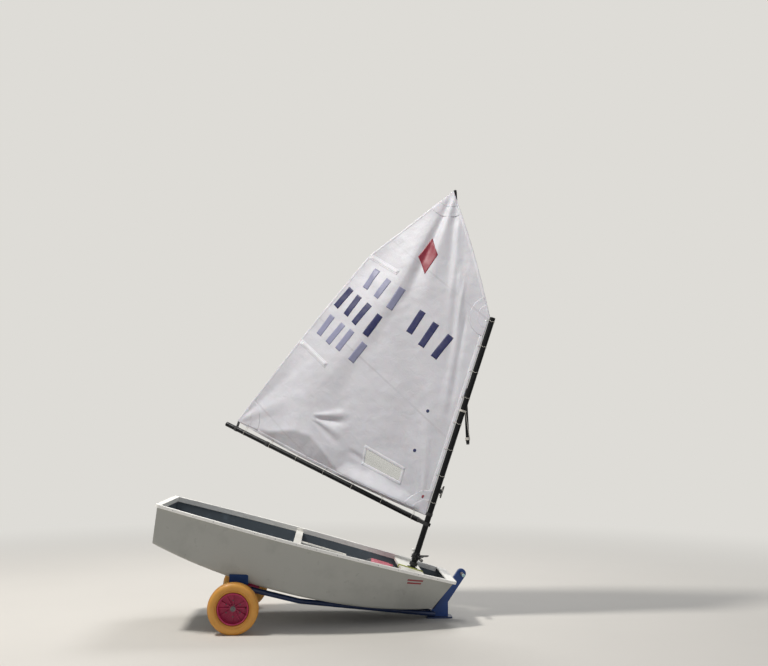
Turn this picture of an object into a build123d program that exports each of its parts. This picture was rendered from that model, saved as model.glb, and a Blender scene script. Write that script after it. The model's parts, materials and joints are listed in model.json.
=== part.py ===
from build123d import *
from math import atan2, cos, degrees, hypot, radians, sin, sqrt
import os

# Sailing dinghy: a small flat-bowed pram with a sprit rig, standing on its beach trolley.
# Millimetres. +X points to the bow, +Y to port, +Z up. The origin is on the floor under the
# middle of the trolley's front skid.

# Clearances
seat_gap = 0.3          # between pieces that seat on each other
turning_gap = 0.05      # radial, between a shaft and its bore
swing_gap = 6.0         # between pieces that pass each other when they move
far = 3000.0            # beyond every piece, for cuts that pass right through

# Place of the hull on the trolley: the top edge of its bow transom, and how far it is tipped
bow_top_x = 76.724
bow_top_z = 310.188
trim_deg = 16.5

# Hull form
hull_length = 2232.0
stern_rake_deg = 8.3
bow_rake_deg = 21.0
deadrise = 12.0         # the keel line lies this far below the chines
chine_round = 28.0
keel_round = 500.0
hull_wall = 9.0
lining_wall = 3.0

# Sections of the hull: share of the length, then half width and height at the sheer,
# and half width and height at the chine
share, sheer_half, sheer_z, chine_half, chine_z = range(5)
stations = (
    (0.00, 453.0, 341.0, 386.0, 74.0),
    (0.25, 538.0, 355.0, 450.0, 9.0),
    (0.50, 559.0, 370.0, 451.0, 6.0),
    (0.75, 490.0, 384.0, 370.0, 58.0),
    (1.00, 326.0, 398.0, 205.0, 188.0),
)

# Gunwale: a moulded rail with a lip down each side, and a full deck over its bow piece
gunwale_overhang = 16.0
gunwale_inside = 22.0
gunwale_thickness = 9.0
gunwale_lip = 11.0      # down the outside of the hull
gunwale_inner_lip = 28.0
gunwale_corner = 38.0
gunwale_end = 75.0      # length of the rails' end pieces along the boat

# Thwarts and the frame under the middle one
thwart_thickness = 18.0
middle_thwart_x = 1037.0
middle_thwart_width = 56.0
middle_thwart_z = 352.0
frame_thickness = 12.0
limber_width = 70.0
limber_height = 34.0
limber_y = 107.0
mast_thwart_x = 1925.0
mast_thwart_width = 186.0
mast_thwart_z = 380.0   # its upper face; the mast frame starts here

# Daggerboard case
slot_past_thwart = 47.0
case_under_thwart = 8.0
slot_length = 290.0
slot_width = 24.0
case_wall = 12.0
case_cap_width = 96.0
case_cap_thickness = 14.0

# Mast, from the thwart's upper face along its own axis
mast_x = 1944.0
mast_rake_deg = 2.0
mast_radius = 22.5
mast_wall = 2.0
mast_foot = -238.0
mast_top = 2048.0
plug_flange = 6.0
plug_depth = 40.0
step_radius = 48.0
step_depth = 34.0
bush_flange_radius = 40.0
bush_flange = 7.0
bush_wall = 4.0
clamp_height = 24.0
clamp_wall = 9.0
cleat_length = 96.0
cleat_stem = 14.0
cleat_horn = 9.6
cleat_foot = 36.0
cleat_width = 14.0
cleat_v = 620.0

# Boom, swung to port, measured in the plane through the mast's axis
boom_swing_deg = 29.7
boom_lift_deg = 5.9
boom_v = 350.0
boom_radius = 20.0
boom_wall = 2.0
boom_end = 2085.0
jaw_width = 26.0
jaw_reach = 74.0
jaw_back = 26.0
jaw_cheek = 12.0
jaw_gap = 0.6           # all round the mast
strap_u = 1610.0
strap_width = 24.0
strap_thickness = 2.5

# Sail: its corners and leech points in the boom's plane, u out from the mast, v up it
sail_thickness = 3.0
luff_gap = 6.0
tack_v = 411.0
throat_v = 2060.0
peak_u = 690.0
peak_v = 3030.0
clew_u = 1992.0
clew_v = 622.0
foot_round = 33.0       # how far the foot's arc sinks towards the boom
leech_kink = (1262.0, 2330.0)      # at the upper batten; straight above it, an arc below
leech_middle = (1654.0, 1457.0)
head_round = 22.0
batten_width = 26.0
batten_thickness = 2.5
# Battens: inner end and outer end in the same plane
battens = (
    ("batten_upper", (923.0, 2230.0), (1246.0, 2325.0)),
    ("batten_lower", (1296.0, 1308.0), (1630.0, 1447.0)),
)

# Sprit, on the port side of the sail
sprit_radius = 13.75
sprit_wall = 1.6
sprit_heel_u = -106.0
sprit_heel_v = 1046.0
sprit_tip_past_peak = 14.0
sprit_plug = 12.0       # what shows of the plug at each end
line_radius = 2.5
snotter_v = 1262.0
snotter_width = 16.0
snotter_wall = 5.0
snotter_slack = 1.0     # all round the mast
snotter_along = 30.0    # up the sprit from its heel, where the lower ring sits
snotter_ring = 20.0

# Beach trolley
axle_x = -1521.0
axle_radius = 11.0
wheel_radius = 179.0
wheel_width = 100.0
wheel_y = 530.0
tyre_round = 33.0
rim_radius = 110.0
rim_half = 40.0
rim_wall = 8.0
web_half = 4.0
web_offset = 22.0       # the web lies this far inboard of the wheel's middle
barrel_radius = 24.0
barrel_in = 46.0        # its ends, inboard and outboard of the wheel's middle
barrel_out = 6.0
rib_count = 12
rib_half = 2.5
rib_height = 20.0
wheel_side_gap = 5.0
collar_radius = 19.0
collar_length = 12.0
frame_radius = 19.0
frame_wall = 2.5
post_y = 425.0          # the two posts that carry the side chocks
post_top_x = -1488.0
post_clamp_side = 6.0
post_clamp_over = 3.0
rail_y = 398.0          # the rails run from these posts, under the hull, to the skid
rail_x = -1500.0
rail_under_chock = 4.0
rail_bend_x = -1060.0
rail_bend_y = 290.0
rail_bend_drop = 59.5   # from the hull's chines to the rail's axis
rail_bend_radius = 160.0
rail_front_x = -38.0
rail_front_y = 39.0
cross_share = 0.356     # of the way from the rails' bend to the skid
cross_radius = 14.0
chock_length = 134.0
chock_width = 128.0
chock_height = 70.0
chock_x = -1490.0
chock_y = 410.0
chock_rise = 36.3       # of its top over the hull's chines at its middle
skid_length = 200.0
skid_width = 110.0
skid_thickness = 12.0
skid_round = 24.0
bow_post_foot_x = -48.0
bow_post_head_x = 175.0
bow_post_head_z = 330.0
bow_post_width = 70.0
bow_post_thickness = 36.0
bow_post_toe_x = 69.0   # the front edge of its foot
bow_post_toe_z = 128.0
handle_radius = 13.0
handle_wall = 2.0
handle_half = 130.0
bow_chock_width = 150.0
bow_chock_low = 50.0    # along the post, from its foot
bow_chock_high = 278.0
bow_chock_depth = 70.0

# Rudder fittings on the stern transom
gudgeon_upper_z = 240.0
gudgeon_lower_z = 120.0
fitting_plate = 3.0
fitting_height = 24.0
fitting_width = 64.0
fitting_reach = 34.0    # from the transom to the rudder's axis
gudgeon_bore = 4.1
eye_radius = 9.0

# Buoyancy bags: radius, length and place of the middle in the hull
bag_radius, bag_length, bag_x, bag_y, bag_z = range(5)
bag_round = 0.45        # of its radius, at the ends
bags = {
    "bag_bow": (138.0, 280.0, 1728.0, 235.0, 200.0),
    "bag_port": (105.0, 560.0, 560.0, 325.0, 138.0),
    "bag_starboard": (105.0, 560.0, 560.0, -325.0, 138.0),
}

nodes = {}

HULL = Location((bow_top_x, 0, bow_top_z), (0, trim_deg, 0)) * Pos(-hull_length, 0, -stations[-1][sheer_z])
MAST = HULL * Location((mast_x, 0, mast_thwart_z), (0, mast_rake_deg, 0))
RIG = MAST * Location((0, 0, 0), (0, 0, 180.0 - boom_swing_deg))


def box_between(x0, x1, y0, y1, z0, z1):
    """An upright box from its low corner to its high one."""
    middle = Pos((x0 + x1) / 2, (y0 + y1) / 2, (z0 + z1) / 2)
    return middle * Box(x1 - x0, y1 - y0, z1 - z0)


def rod(start, end, radius):
    """A round bar from one point to another."""
    run = Vector(*end) - Vector(*start)
    return extrude(Plane(origin=start, z_dir=run) * Circle(radius), run.length)


def tube(start, end, radius, wall):
    """A round tube from one point to another."""
    run = Vector(*end) - Vector(*start)
    ring = Circle(radius) - Circle(radius - wall)
    return extrude(Plane(origin=start, z_dir=run) * ring, run.length)


def upright_edges(shape):
    """The edges that stand upright, straight or not."""
    ends = [(edge, edge @ 0, edge @ 1) for edge in shape.edges()]
    return [edge for edge, low, high in ends if abs(low.X - high.X) + abs(low.Y - high.Y) < 0.01]


def across(x):
    """The plane of a section of the hull: local x to port, local y up."""
    return Plane(origin=(x, 0, 0), x_dir=(0, 1, 0), z_dir=(1, 0, 0))


def section(row, inset, rise):
    """One section, drawn inside the outer skin by inset and topped above the sheer by rise."""
    keel_slope = deadrise / row[chine_half]
    flare = (row[sheer_half] - row[chine_half]) / (row[sheer_z] - row[chine_z])
    keel = row[chine_z] - deadrise + inset * sqrt(1 + keel_slope ** 2)
    side = row[chine_half] - inset * sqrt(1 + flare ** 2)
    chine = (side + flare * (keel - row[chine_z])) / (1 - flare * keel_slope)
    top = row[sheer_z] + rise
    top_half = side + flare * (top - row[chine_z])
    low = keel + keel_slope * chine
    outline = Polyline((-top_half, top), (-chine, low), (0, keel), (chine, low), (top_half, top), close=True)
    face = make_face(outline)
    chines = [v for v in face.vertices() if abs(abs(v.X) - chine) < 0.01 and abs(v.Y - low) < 0.01]
    face = fillet(chines, max(chine_round - inset, 6.0))
    keels = [v for v in face.vertices() if abs(v.X) < 0.01 and abs(v.Y - keel) < 0.01]
    return across(row[share] * hull_length) * fillet(keels, keel_round)


def hull_block(inset, rise):
    """The solid inside the hull's skin, cut off by the two transoms."""
    body = loft([section(row, inset, rise) for row in stations])
    stern_way = (cos(radians(stern_rake_deg)), 0, sin(radians(stern_rake_deg)))
    bow_way = (-cos(radians(bow_rake_deg)), 0, sin(radians(bow_rake_deg)))
    stern = Plane(origin=(0, 0, stations[0][sheer_z]), z_dir=stern_way).offset(inset)
    bow = Plane(origin=(hull_length, 0, stations[-1][sheer_z]), z_dir=bow_way).offset(inset)
    body = split(body, bisect_by=stern, keep=Keep.TOP)
    return split(body, bisect_by=bow, keep=Keep.TOP)


def sheer_band(spread, low, high):
    """A slab that follows the sheer, wider and longer than the hull by spread."""
    sections = []
    for row in stations:
        x = row[share] * (hull_length + 2 * spread) - spread
        half = row[sheer_half] + spread
        middle = row[sheer_z] + (low + high) / 2
        sections.append(across(x) * Pos(0, middle) * Rectangle(2 * half, high - low))
    return loft(sections)


def thwart(x, width, top, gap=0.0):
    """A plank right across the boat, made bigger by gap all round."""
    half = width / 2 + gap
    return box_between(x - half, x + half, -far, far, top - thwart_thickness - gap, top + gap)


def gunwale(room):
    """The rail round the hull in four pieces, notched round the thwarts."""
    split_low = gunwale_end - gunwale_overhang
    split_high = hull_length - split_low
    behind_bow = box_between(-far, split_high, -far, far, -far, far)
    rail = sheer_band(gunwale_overhang, -gunwale_lip, gunwale_thickness)
    rail = fillet(upright_edges(rail), gunwale_corner) - hull_block(-seat_gap, seat_gap)
    lip = room & sheer_band(0, -gunwale_inner_lip, gunwale_thickness / 2) & behind_bow
    rail += lip
    rail -= sheer_band(-gunwale_inside, -far, far) & behind_bow
    rail -= room & thwart(middle_thwart_x, middle_thwart_width, middle_thwart_z, seat_gap)
    rail -= room & thwart(mast_thwart_x, mast_thwart_width, mast_thwart_z, seat_gap)

    gap = seat_gap / 2
    nodes["gunwale_stern"] = rail & box_between(-far, split_low - gap, -far, far, -far, far)
    nodes["gunwale_bow"] = rail & box_between(split_high + gap, far, -far, far, -far, far)
    middle = rail & box_between(split_low + gap, split_high - gap, -far, far, -far, far)
    nodes["gunwale_port"] = middle & box_between(-far, far, 0, far, -far, far)
    nodes["gunwale_starboard"] = middle & box_between(-far, far, -far, 0, -far, far)


def hull_pieces():
    """Shell, lining, gunwale and everything built into the hull."""
    shell = hull_block(0.0, 0.0) - hull_block(hull_wall, gunwale_overhang)
    lining_inset = hull_wall + seat_gap
    lining_face = lining_inset + lining_wall
    lining = hull_block(lining_inset, -seat_gap) - hull_block(lining_face, gunwale_overhang)
    room = hull_block(lining_face + seat_gap, gunwale_thickness)
    gunwale(room)

    slot_x0 = middle_thwart_x + middle_thwart_width / 2 + slot_past_thwart
    slot_x1 = slot_x0 + slot_length
    thwart_low = middle_thwart_z - thwart_thickness
    case_top_z = thwart_low - case_cap_thickness - seat_gap
    slot = box_between(slot_x0, slot_x1, -slot_width / 2, slot_width / 2, -far, far)
    nodes["hull_shell"] = shell - slot
    nodes["lining"] = lining - slot

    nodes["middle_thwart"] = room & thwart(middle_thwart_x, middle_thwart_width, middle_thwart_z)
    half = frame_thickness / 2
    frame = room & box_between(middle_thwart_x - half, middle_thwart_x + half, -far, far, -far, thwart_low)
    for side in (-1, 1):
        hole = Box(4 * frame_thickness, limber_width, 2 * limber_height)
        frame -= Pos(middle_thwart_x, side * limber_y, 0) * hole
    nodes["middle_frame"] = frame

    half = slot_width / 2 + case_wall
    case_x0 = middle_thwart_x + middle_thwart_width / 2 - case_under_thwart
    case_x1 = slot_x1 + case_wall
    case = room & box_between(case_x0, case_x1, -half, half, -far, case_top_z)
    nodes["daggerboard_case"] = case - slot
    half = case_cap_width / 2
    cap = box_between(case_x0, case_x1 + case_wall, -half, half, case_top_z + seat_gap, thwart_low)
    nodes["case_cap"] = fillet(cap.edges().filter_by(Axis.Z), case_wall) - slot

    mast_hole = rod_in_hull(mast_radius + bush_wall + seat_gap, mast_foot, -mast_foot)
    nodes["mast_thwart"] = (room & thwart(mast_thwart_x, mast_thwart_width, mast_thwart_z)) - mast_hole
    flange_low = mast_thwart_z + seat_gap
    flange = Pos(mast_x, 0, flange_low + bush_flange / 2) * Cylinder(bush_flange_radius, bush_flange)
    sleeve = rod_in_hull(mast_radius + bush_wall, -thwart_thickness, bush_flange)
    shaft = rod_in_hull(mast_radius + turning_gap, mast_foot - seat_gap, -mast_foot)
    nodes["mast_bush"] = flange + sleeve - shaft
    step = rod_in_hull(step_radius, 2 * mast_foot, mast_foot + step_depth)
    nodes["mast_step"] = (room & step) - shaft
    return room


def rod_in_hull(radius, low, high):
    """A bar along the mast's axis, in the hull's frame."""
    frame = Location((mast_x, 0, mast_thwart_z), (0, mast_rake_deg, 0))
    return frame * Pos(0, 0, (low + high) / 2) * Cylinder(radius, high - low)


def bag(row):
    """A buoyancy bag: a sausage with rounded ends, lying fore and aft."""
    body = Rot(0, 90, 0) * Cylinder(row[bag_radius], row[bag_length])
    body = fillet(body.edges().filter_by(GeomType.CIRCLE), row[bag_radius] * bag_round)
    return Pos(row[bag_x], row[bag_y], row[bag_z]) * body


def stern_fittings():
    """Two gudgeons on the raked stern transom, in line for the rudder's pins."""
    half = fitting_height / 2
    face = -fitting_plate - seat_gap
    for name, z in (("upper", gudgeon_upper_z), ("lower", gudgeon_lower_z)):
        drop = stations[0][sheer_z] - z
        x = drop * sin(radians(stern_rake_deg)) / cos(radians(stern_rake_deg))
        plate = box_between(face, -seat_gap, -fitting_width / 2, fitting_width / 2, -half, half)
        arm = box_between(-fitting_reach, face, -eye_radius, eye_radius, -half, half)
        eye = Cylinder(eye_radius, fitting_height)
        bore = Cylinder(gudgeon_bore, 3 * fitting_height)
        piece = plate + arm + Pos(-fitting_reach, 0, 0) * eye - Pos(-fitting_reach, 0, 0) * bore
        nodes["stern_gudgeon_" + name] = Pos(x, 0, z) * Rot(0, -stern_rake_deg, 0) * piece


def mast_pieces():
    """The mast and what turns with it, in the mast's frame."""
    nodes["mast_tube"] = tube((0, 0, mast_foot + plug_flange), (0, 0, mast_top), mast_radius, mast_wall)
    inner = mast_radius - mast_wall - turning_gap
    heel = Pos(0, 0, mast_foot + plug_flange / 2) * Cylinder(mast_radius, plug_flange)
    heel += Pos(0, 0, mast_foot + (plug_flange + plug_depth) / 2) * Cylinder(inner, plug_flange + plug_depth)
    nodes["mast_heel"] = heel
    head = Pos(0, 0, mast_top + plug_flange / 2) * Cylinder(mast_radius, plug_flange)
    head = fillet(head.edges().sort_by(Axis.Z)[-1], plug_flange * 0.6)
    nodes["mast_head"] = head + Pos(0, 0, mast_top - plug_depth / 2) * Cylinder(inner, plug_depth)
    low = bush_flange + seat_gap + 2 * swing_gap
    ring = Circle(mast_radius + clamp_wall) - Circle(mast_radius + turning_gap)
    nodes["mast_clamp"] = Pos(0, 0, low) * extrude(ring, clamp_height)
    horn_x = mast_radius + cleat_stem
    half = cleat_width / 2
    foot = box_between(0, horn_x, -half, half, -cleat_foot / 2, cleat_foot / 2)
    horn = box_between(horn_x, horn_x + cleat_horn, -half, half, -cleat_length / 2, cleat_length / 2)
    cleat = foot + fillet(horn.edges().filter_by(Axis.Y), cleat_horn * 0.4)
    nodes["mast_cleat"] = Pos(0, 0, cleat_v) * (cleat - Cylinder(mast_radius + turning_gap, far))


def boom_point(u, rise=0.0):
    """A point on the boom's axis, or above it by rise, in the rig's frame."""
    lift = radians(boom_lift_deg)
    return (u - rise * sin(lift), 0, boom_v + u * sin(lift) / cos(lift) + rise * cos(lift))


def sail_face():
    """The sail's outline in the boom's plane."""
    luff_u = mast_radius + luff_gap
    tack = (luff_u, tack_v)
    throat = (luff_u, throat_v)
    peak = (peak_u, peak_v)
    clew = (clew_u, clew_v)
    head_way = Vector(peak_u - luff_u, peak_v - throat_v).normalized()
    bulge = (
        (luff_u + peak_u) / 2 - head_way.Y * head_round,
        (throat_v + peak_v) / 2 + head_way.X * head_round,
    )
    low = ((luff_u + clew_u) / 2, (tack_v + clew_v) / 2 - foot_round)
    edges = [
        Line(tack, throat),
        ThreePointArc(throat, bulge, peak),
        Line(peak, leech_kink),
        ThreePointArc(leech_kink, leech_middle, clew),
        ThreePointArc(clew, low, tack),
    ]
    return make_face(Curve() + edges)


def sprit_point(along):
    """A point on the sprit's axis, at a distance from its heel."""
    run = Vector(peak_u - sprit_heel_u, 0, peak_v - sprit_heel_v).normalized()
    w = -(mast_radius + swing_gap + sprit_radius)
    return (sprit_heel_u + along * run.X, w, sprit_heel_v + along * run.Z)


def boom_pieces():
    """Boom, sprit and sail, which swing about the mast, in the rig's frame."""
    boom_start = (jaw_reach + seat_gap) * cos(radians(boom_lift_deg))
    nodes["boom_tube"] = tube(boom_point(boom_start), boom_point(boom_end), boom_radius, boom_wall)
    inner = boom_radius - boom_wall - turning_gap
    plug = rod(boom_point(boom_end - plug_depth), boom_point(boom_end), inner)
    nodes["boom_plug"] = plug + rod(boom_point(boom_end), boom_point(boom_end + plug_flange), boom_radius)

    tilt = Location(boom_point(0), (0, -boom_lift_deg, 0))
    bore_radius = mast_radius + jaw_gap
    bore = Cylinder(bore_radius, far)
    half = mast_radius + jaw_cheek
    body = box_between(-jaw_back, jaw_reach, -half, half, -jaw_width / 2, jaw_width / 2)
    body = fillet(body.edges().filter_by(Axis.Z), jaw_cheek)
    mouth = box_between(-far, 0, -bore_radius, bore_radius, -far, far)
    spigot = rod(boom_point(jaw_reach - jaw_cheek), boom_point(boom_start + plug_depth), inner)
    nodes["boom_jaw"] = (tilt * body) - bore - mouth + spigot

    strap_outer = boom_radius + strap_thickness
    strap_end = boom_point(strap_u + strap_width)
    nodes["boom_strap"] = tube(boom_point(strap_u), strap_end, strap_outer, strap_thickness)

    face = sail_face()
    upright = Plane.XZ
    nodes["sail"] = Pos(0, sail_thickness / 2, 0) * extrude(upright * face, sail_thickness)
    for name, inner_end, outer_end in battens:
        run_u = outer_end[0] - inner_end[0]
        run_v = outer_end[1] - inner_end[1]
        length = hypot(run_u, run_v)
        strip = Rectangle(length, batten_width)
        turned = Pos((outer_end[0] + inner_end[0]) / 2, (outer_end[1] + inner_end[1]) / 2)
        turned = turned * Rot(0, 0, degrees(atan2(run_v, run_u)))
        solid = extrude(upright * (turned * strip), batten_thickness)
        nodes[name] = Pos(0, sail_thickness / 2 + batten_thickness + seat_gap, 0) * solid

    face_w = -sail_thickness / 2 - seat_gap
    back_w = face_w - strap_thickness
    high_u = clew_u - strap_thickness
    low_u = high_u - strap_width
    clew_ring = tube(boom_point(low_u), boom_point(high_u), strap_outer, strap_thickness)
    ring_top = boom_point(high_u, strap_outer - strap_thickness / 2)
    tongue = box_between(low_u, high_u, back_w, face_w, ring_top[2], clew_v + strap_width)
    nodes["clew_strap"] = clew_ring + tongue
    outer = bore_radius + strap_thickness
    low_v = tack_v + strap_thickness
    high_v = low_v + strap_width
    tack_ring = Pos(0, 0, (low_v + high_v) / 2) * Cylinder(outer, strap_width) - bore
    tongue = box_between(outer - strap_thickness / 2, outer + strap_width, back_w, face_w, low_v, high_v)
    nodes["tack_strap"] = tack_ring + tongue

    tip = hypot(peak_u - sprit_heel_u, peak_v - sprit_heel_v) + sprit_tip_past_peak
    nodes["sprit_tube"] = tube(sprit_point(0), sprit_point(tip), sprit_radius, sprit_wall)
    inner = sprit_radius - sprit_wall - turning_gap
    nodes["sprit_tip"] = rod(sprit_point(tip - plug_depth), sprit_point(tip + sprit_plug), inner)
    nodes["sprit_heel"] = rod(sprit_point(-sprit_plug), sprit_point(plug_depth), inner)

    inner = mast_radius + snotter_slack
    ring = Circle(inner + snotter_wall) - Circle(inner)
    collar = Pos(0, 0, snotter_v) * extrude(ring, snotter_width)
    ring_low = sprit_point(snotter_along - snotter_ring / 2)
    ring_high = sprit_point(snotter_along + snotter_ring / 2)
    collar += tube(ring_low, ring_high, sprit_radius + turning_gap + snotter_wall, snotter_wall)
    away = sprit_radius + line_radius + 3 * seat_gap
    slope = atan2(peak_u - sprit_heel_u, peak_v - sprit_heel_v)
    on_sprit = sprit_point(snotter_along)
    start = (on_sprit[0] - away * cos(slope), on_sprit[1], on_sprit[2] + away * sin(slope))
    end = (-bore_radius - line_radius - seat_gap, 0, snotter_v + snotter_width / 4)
    nodes["snotter"] = collar + rod(start, end, line_radius)


def chine_height(x):
    """How high the hull's chines lie over the floor, at a place along the trolley."""
    points = [(HULL * Pos(row[share] * hull_length, 0, row[chine_z])).position for row in stations]
    for low, high in zip(points, points[1:]):
        if x <= high.X:
            break
    return low.Z + (x - low.X) / (high.X - low.X) * (high.Z - low.Z)


def trolley_pieces():
    """Frame of the beach trolley, with its chocks, post and skid."""
    collar_in = wheel_y - barrel_in - wheel_side_gap - collar_length
    collar_out = wheel_y + barrel_out + wheel_side_gap
    axle_half = collar_out + collar_length
    axle = on_axle(-axle_half, axle_half, axle_radius)
    axle_room = on_axle(-far, far, axle_radius + turning_gap)
    form = HULL * hull_block(-seat_gap, 0.0)
    chock_top = chine_height(chock_x) + chock_rise
    chock_low = chock_top - chock_height
    under_chock = box_between(-far, far, -far, far, -far, chock_low - seat_gap)
    half_length = chock_length / 2
    half_width = chock_width / 2
    clamp_half = frame_radius + post_clamp_side
    bends = []
    for side, name in ((1, "port"), (-1, "starboard")):
        axle += on_axle(side * collar_in, side * (collar_in + collar_length), collar_radius)
        axle += on_axle(side * collar_out, side * (collar_out + collar_length), collar_radius)
        y = side * post_y
        foot = (axle_x, y, wheel_radius)
        head = (post_top_x, y, chock_low + frame_radius)
        clamp = on_axle(y - clamp_half, y + clamp_half, frame_radius + post_clamp_over)
        post = rod(foot, head, frame_radius)
        nodes["post_" + name] = (post + clamp - axle_room) & under_chock
        y = side * chock_y
        block = box_between(
            chock_x - half_length, chock_x + half_length, y - half_width, y + half_width, chock_low, chock_top
        )
        nodes["chock_" + name] = block - form
        start = (rail_x, side * rail_y, chock_low - rail_under_chock - frame_radius)
        bend = (rail_bend_x, side * rail_bend_y, chine_height(rail_bend_x) - rail_bend_drop)
        end = (rail_front_x, side * rail_front_y, skid_thickness + frame_radius + seat_gap)
        path = FilletPolyline(start, bend, end, radius=rail_bend_radius)
        ring = Circle(frame_radius) - Circle(frame_radius - frame_wall)
        rail = sweep(Plane(origin=start, z_dir=path % 0) * ring, path=path)
        nodes["rail_" + name] = rail - rod(foot, head, frame_radius + seat_gap)
        bends.append((Vector(*bend), Vector(*end)))
    nodes["axle"] = axle
    left, right = [bend + (end - bend) * cross_share for bend, end in bends]
    cross = rod(left, right, cross_radius)
    for bend, end in bends:
        cross -= rod(bend, end, frame_radius + seat_gap)
    nodes["cross_tube"] = cross

    skid = Pos(0, 0, skid_thickness / 2) * Box(skid_length, skid_width, skid_thickness)
    skid = fillet(skid.edges().filter_by(Axis.Z), skid_round)
    nodes["skid"] = fillet(skid.faces().sort_by(Axis.Z)[-1].edges(), 3.0)
    lean = atan2(bow_post_head_x - bow_post_foot_x, bow_post_head_z - skid_thickness)
    tall = hypot(bow_post_head_x - bow_post_foot_x, bow_post_head_z - skid_thickness)
    post_frame = Pos(bow_post_foot_x, 0, skid_thickness) * Rot(0, degrees(lean), 0)
    half = bow_post_width / 2
    side = bow_post_thickness / 2
    head = Pos(0, 0, tall) * Rot(90, 0, 0)
    post = box_between(-half, half, -side, side, -2 * half, tall)
    post += head * Cylinder(half, bow_post_thickness)
    toe_low = (bow_post_toe_x, skid_thickness)
    toe_high = (bow_post_toe_x, bow_post_toe_z)
    behind = (bow_post_foot_x, skid_thickness)
    toe = extrude(Plane.XZ * make_face(Polyline(behind, toe_low, toe_high, close=True)), side, both=True)
    above_skid = box_between(-far, far, -far, far, skid_thickness + seat_gap, far)
    handle_room = post_frame * head * Cylinder(handle_radius + seat_gap, far)
    nodes["bow_post"] = ((post_frame * post) + toe - handle_room) & above_skid
    head_x = bow_post_foot_x + tall * sin(lean)
    handle_end = (head_x, handle_half, bow_post_head_z)
    nodes["handle"] = tube((head_x, -handle_half, bow_post_head_z), handle_end, handle_radius, handle_wall)
    side = bow_chock_width / 2
    pad = box_between(-half - bow_chock_depth, -half - seat_gap, -side, side, bow_chock_low, bow_chock_high)
    nodes["bow_chock"] = (post_frame * pad) - form


def on_axle(y0, y1, radius):
    """A round bar along the wheels' axis."""
    return rod((axle_x, y0, wheel_radius), (axle_x, y1, wheel_radius), radius)


def wheel(side, name):
    """One beach wheel: a balloon tyre on a dished and ribbed hub."""
    height = wheel_radius - rim_radius - turning_gap
    profile = RectangleRounded(height, wheel_width, tyre_round)
    profile = Pos(rim_radius + turning_gap + height / 2, 0) * profile
    tyre = revolve(Plane.XZ * profile, Axis.Z)
    rim = Pos(rim_radius - rim_wall / 2, 0) * Rectangle(rim_wall, 2 * rim_half)
    reach = rim_radius - barrel_radius
    web = Pos((rim_radius + barrel_radius - rim_wall) / 2, web_offset) * Rectangle(reach, 2 * web_half)
    bore = axle_radius + turning_gap
    barrel_middle = (barrel_in - barrel_out) / 2
    barrel = Rectangle(barrel_radius - bore, barrel_in + barrel_out)
    barrel = Pos((barrel_radius + bore) / 2, barrel_middle) * barrel
    hub = revolve(Plane.XZ * (rim + web + barrel), Axis.Z)
    inner = barrel_radius - web_half
    outer = rim_radius - rim_wall / 2
    rib_low = web_offset - web_half - rib_height
    for turn in range(rib_count):
        rib = box_between(inner, outer, -rib_half, rib_half, rib_low, web_offset)
        hub += Rot(0, 0, turn * 360.0 / rib_count) * rib
    place = Pos(axle_x, side * wheel_y, wheel_radius) * Rot(90 * side, 0, 0)
    nodes["tyre_" + name] = place * tyre
    nodes["hub_" + name] = place * hub


room = hull_pieces()
stern_fittings()
for bag_name, bag_row in bags.items():
    nodes[bag_name] = room & bag(bag_row)
in_hull = list(nodes)
for name in in_hull:
    nodes[name] = HULL * nodes[name]

mast_pieces()
in_mast = [name for name in nodes if name not in in_hull]
for name in in_mast:
    nodes[name] = MAST * nodes[name]

placed = set(nodes)
boom_pieces()
for name in [name for name in nodes if name not in placed]:
    nodes[name] = RIG * nodes[name]

trolley_pieces()
for wheel_side, wheel_name in ((1, "port"), (-1, "starboard")):
    wheel(wheel_side, wheel_name)

os.makedirs("parts", exist_ok=True)
for name, shape in nodes.items():
    export_step(shape, "parts/" + name + ".step")
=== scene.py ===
"""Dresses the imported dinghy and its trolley: sailcloth, cords, bags, fittings, finishes and the stage."""
import json
import math

import bmesh
import bpy
from bpy.props import FloatProperty, FloatVectorProperty, IntProperty, PointerProperty
from mathutils import Matrix, Vector, noise
from mathutils.bvhtree import BVHTree


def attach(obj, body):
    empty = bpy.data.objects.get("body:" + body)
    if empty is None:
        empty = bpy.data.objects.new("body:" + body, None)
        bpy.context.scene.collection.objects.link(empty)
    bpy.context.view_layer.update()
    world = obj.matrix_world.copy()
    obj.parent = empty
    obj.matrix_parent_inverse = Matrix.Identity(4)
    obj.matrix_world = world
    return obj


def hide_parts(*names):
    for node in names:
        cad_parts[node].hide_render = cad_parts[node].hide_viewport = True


bl_info = {
    "name": "Dinghy dresser",
    "version": (1, 0, 0),
    "blender": (4, 5, 0),
    "location": "3D View > Sidebar > Dinghy",
    "description": "Builds the cloth, cords, bags and finishes of a sailing dinghy on its beach trolley",
    "category": "Object",
}

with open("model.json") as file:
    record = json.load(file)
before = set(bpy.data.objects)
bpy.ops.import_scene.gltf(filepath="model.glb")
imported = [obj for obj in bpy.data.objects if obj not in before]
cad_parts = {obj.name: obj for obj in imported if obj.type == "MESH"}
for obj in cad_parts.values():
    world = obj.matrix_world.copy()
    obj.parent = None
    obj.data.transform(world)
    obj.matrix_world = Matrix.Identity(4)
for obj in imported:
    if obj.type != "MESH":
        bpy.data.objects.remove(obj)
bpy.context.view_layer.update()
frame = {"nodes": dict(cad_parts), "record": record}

MM = 0.001
TRIM = math.radians(16.5)         # the hull stands bow down by this
SAIL_SWING = math.radians(29.7)   # the boom is swung this far to port
BOOM_LIFT = math.tan(math.radians(5.9))   # the boom's rise along itself
BOOM_V = 350.0                    # where the boom's axis meets the mast's, up the mast
MAST_RADIUS = 22.5
BOOM_RADIUS = 20.0
SIDES = ((1, "port"), (-1, "starboard"))
AXLE = Vector((-1.521, 0.0, 0.179))   # the middle of the wheels' axle, in metres

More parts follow.
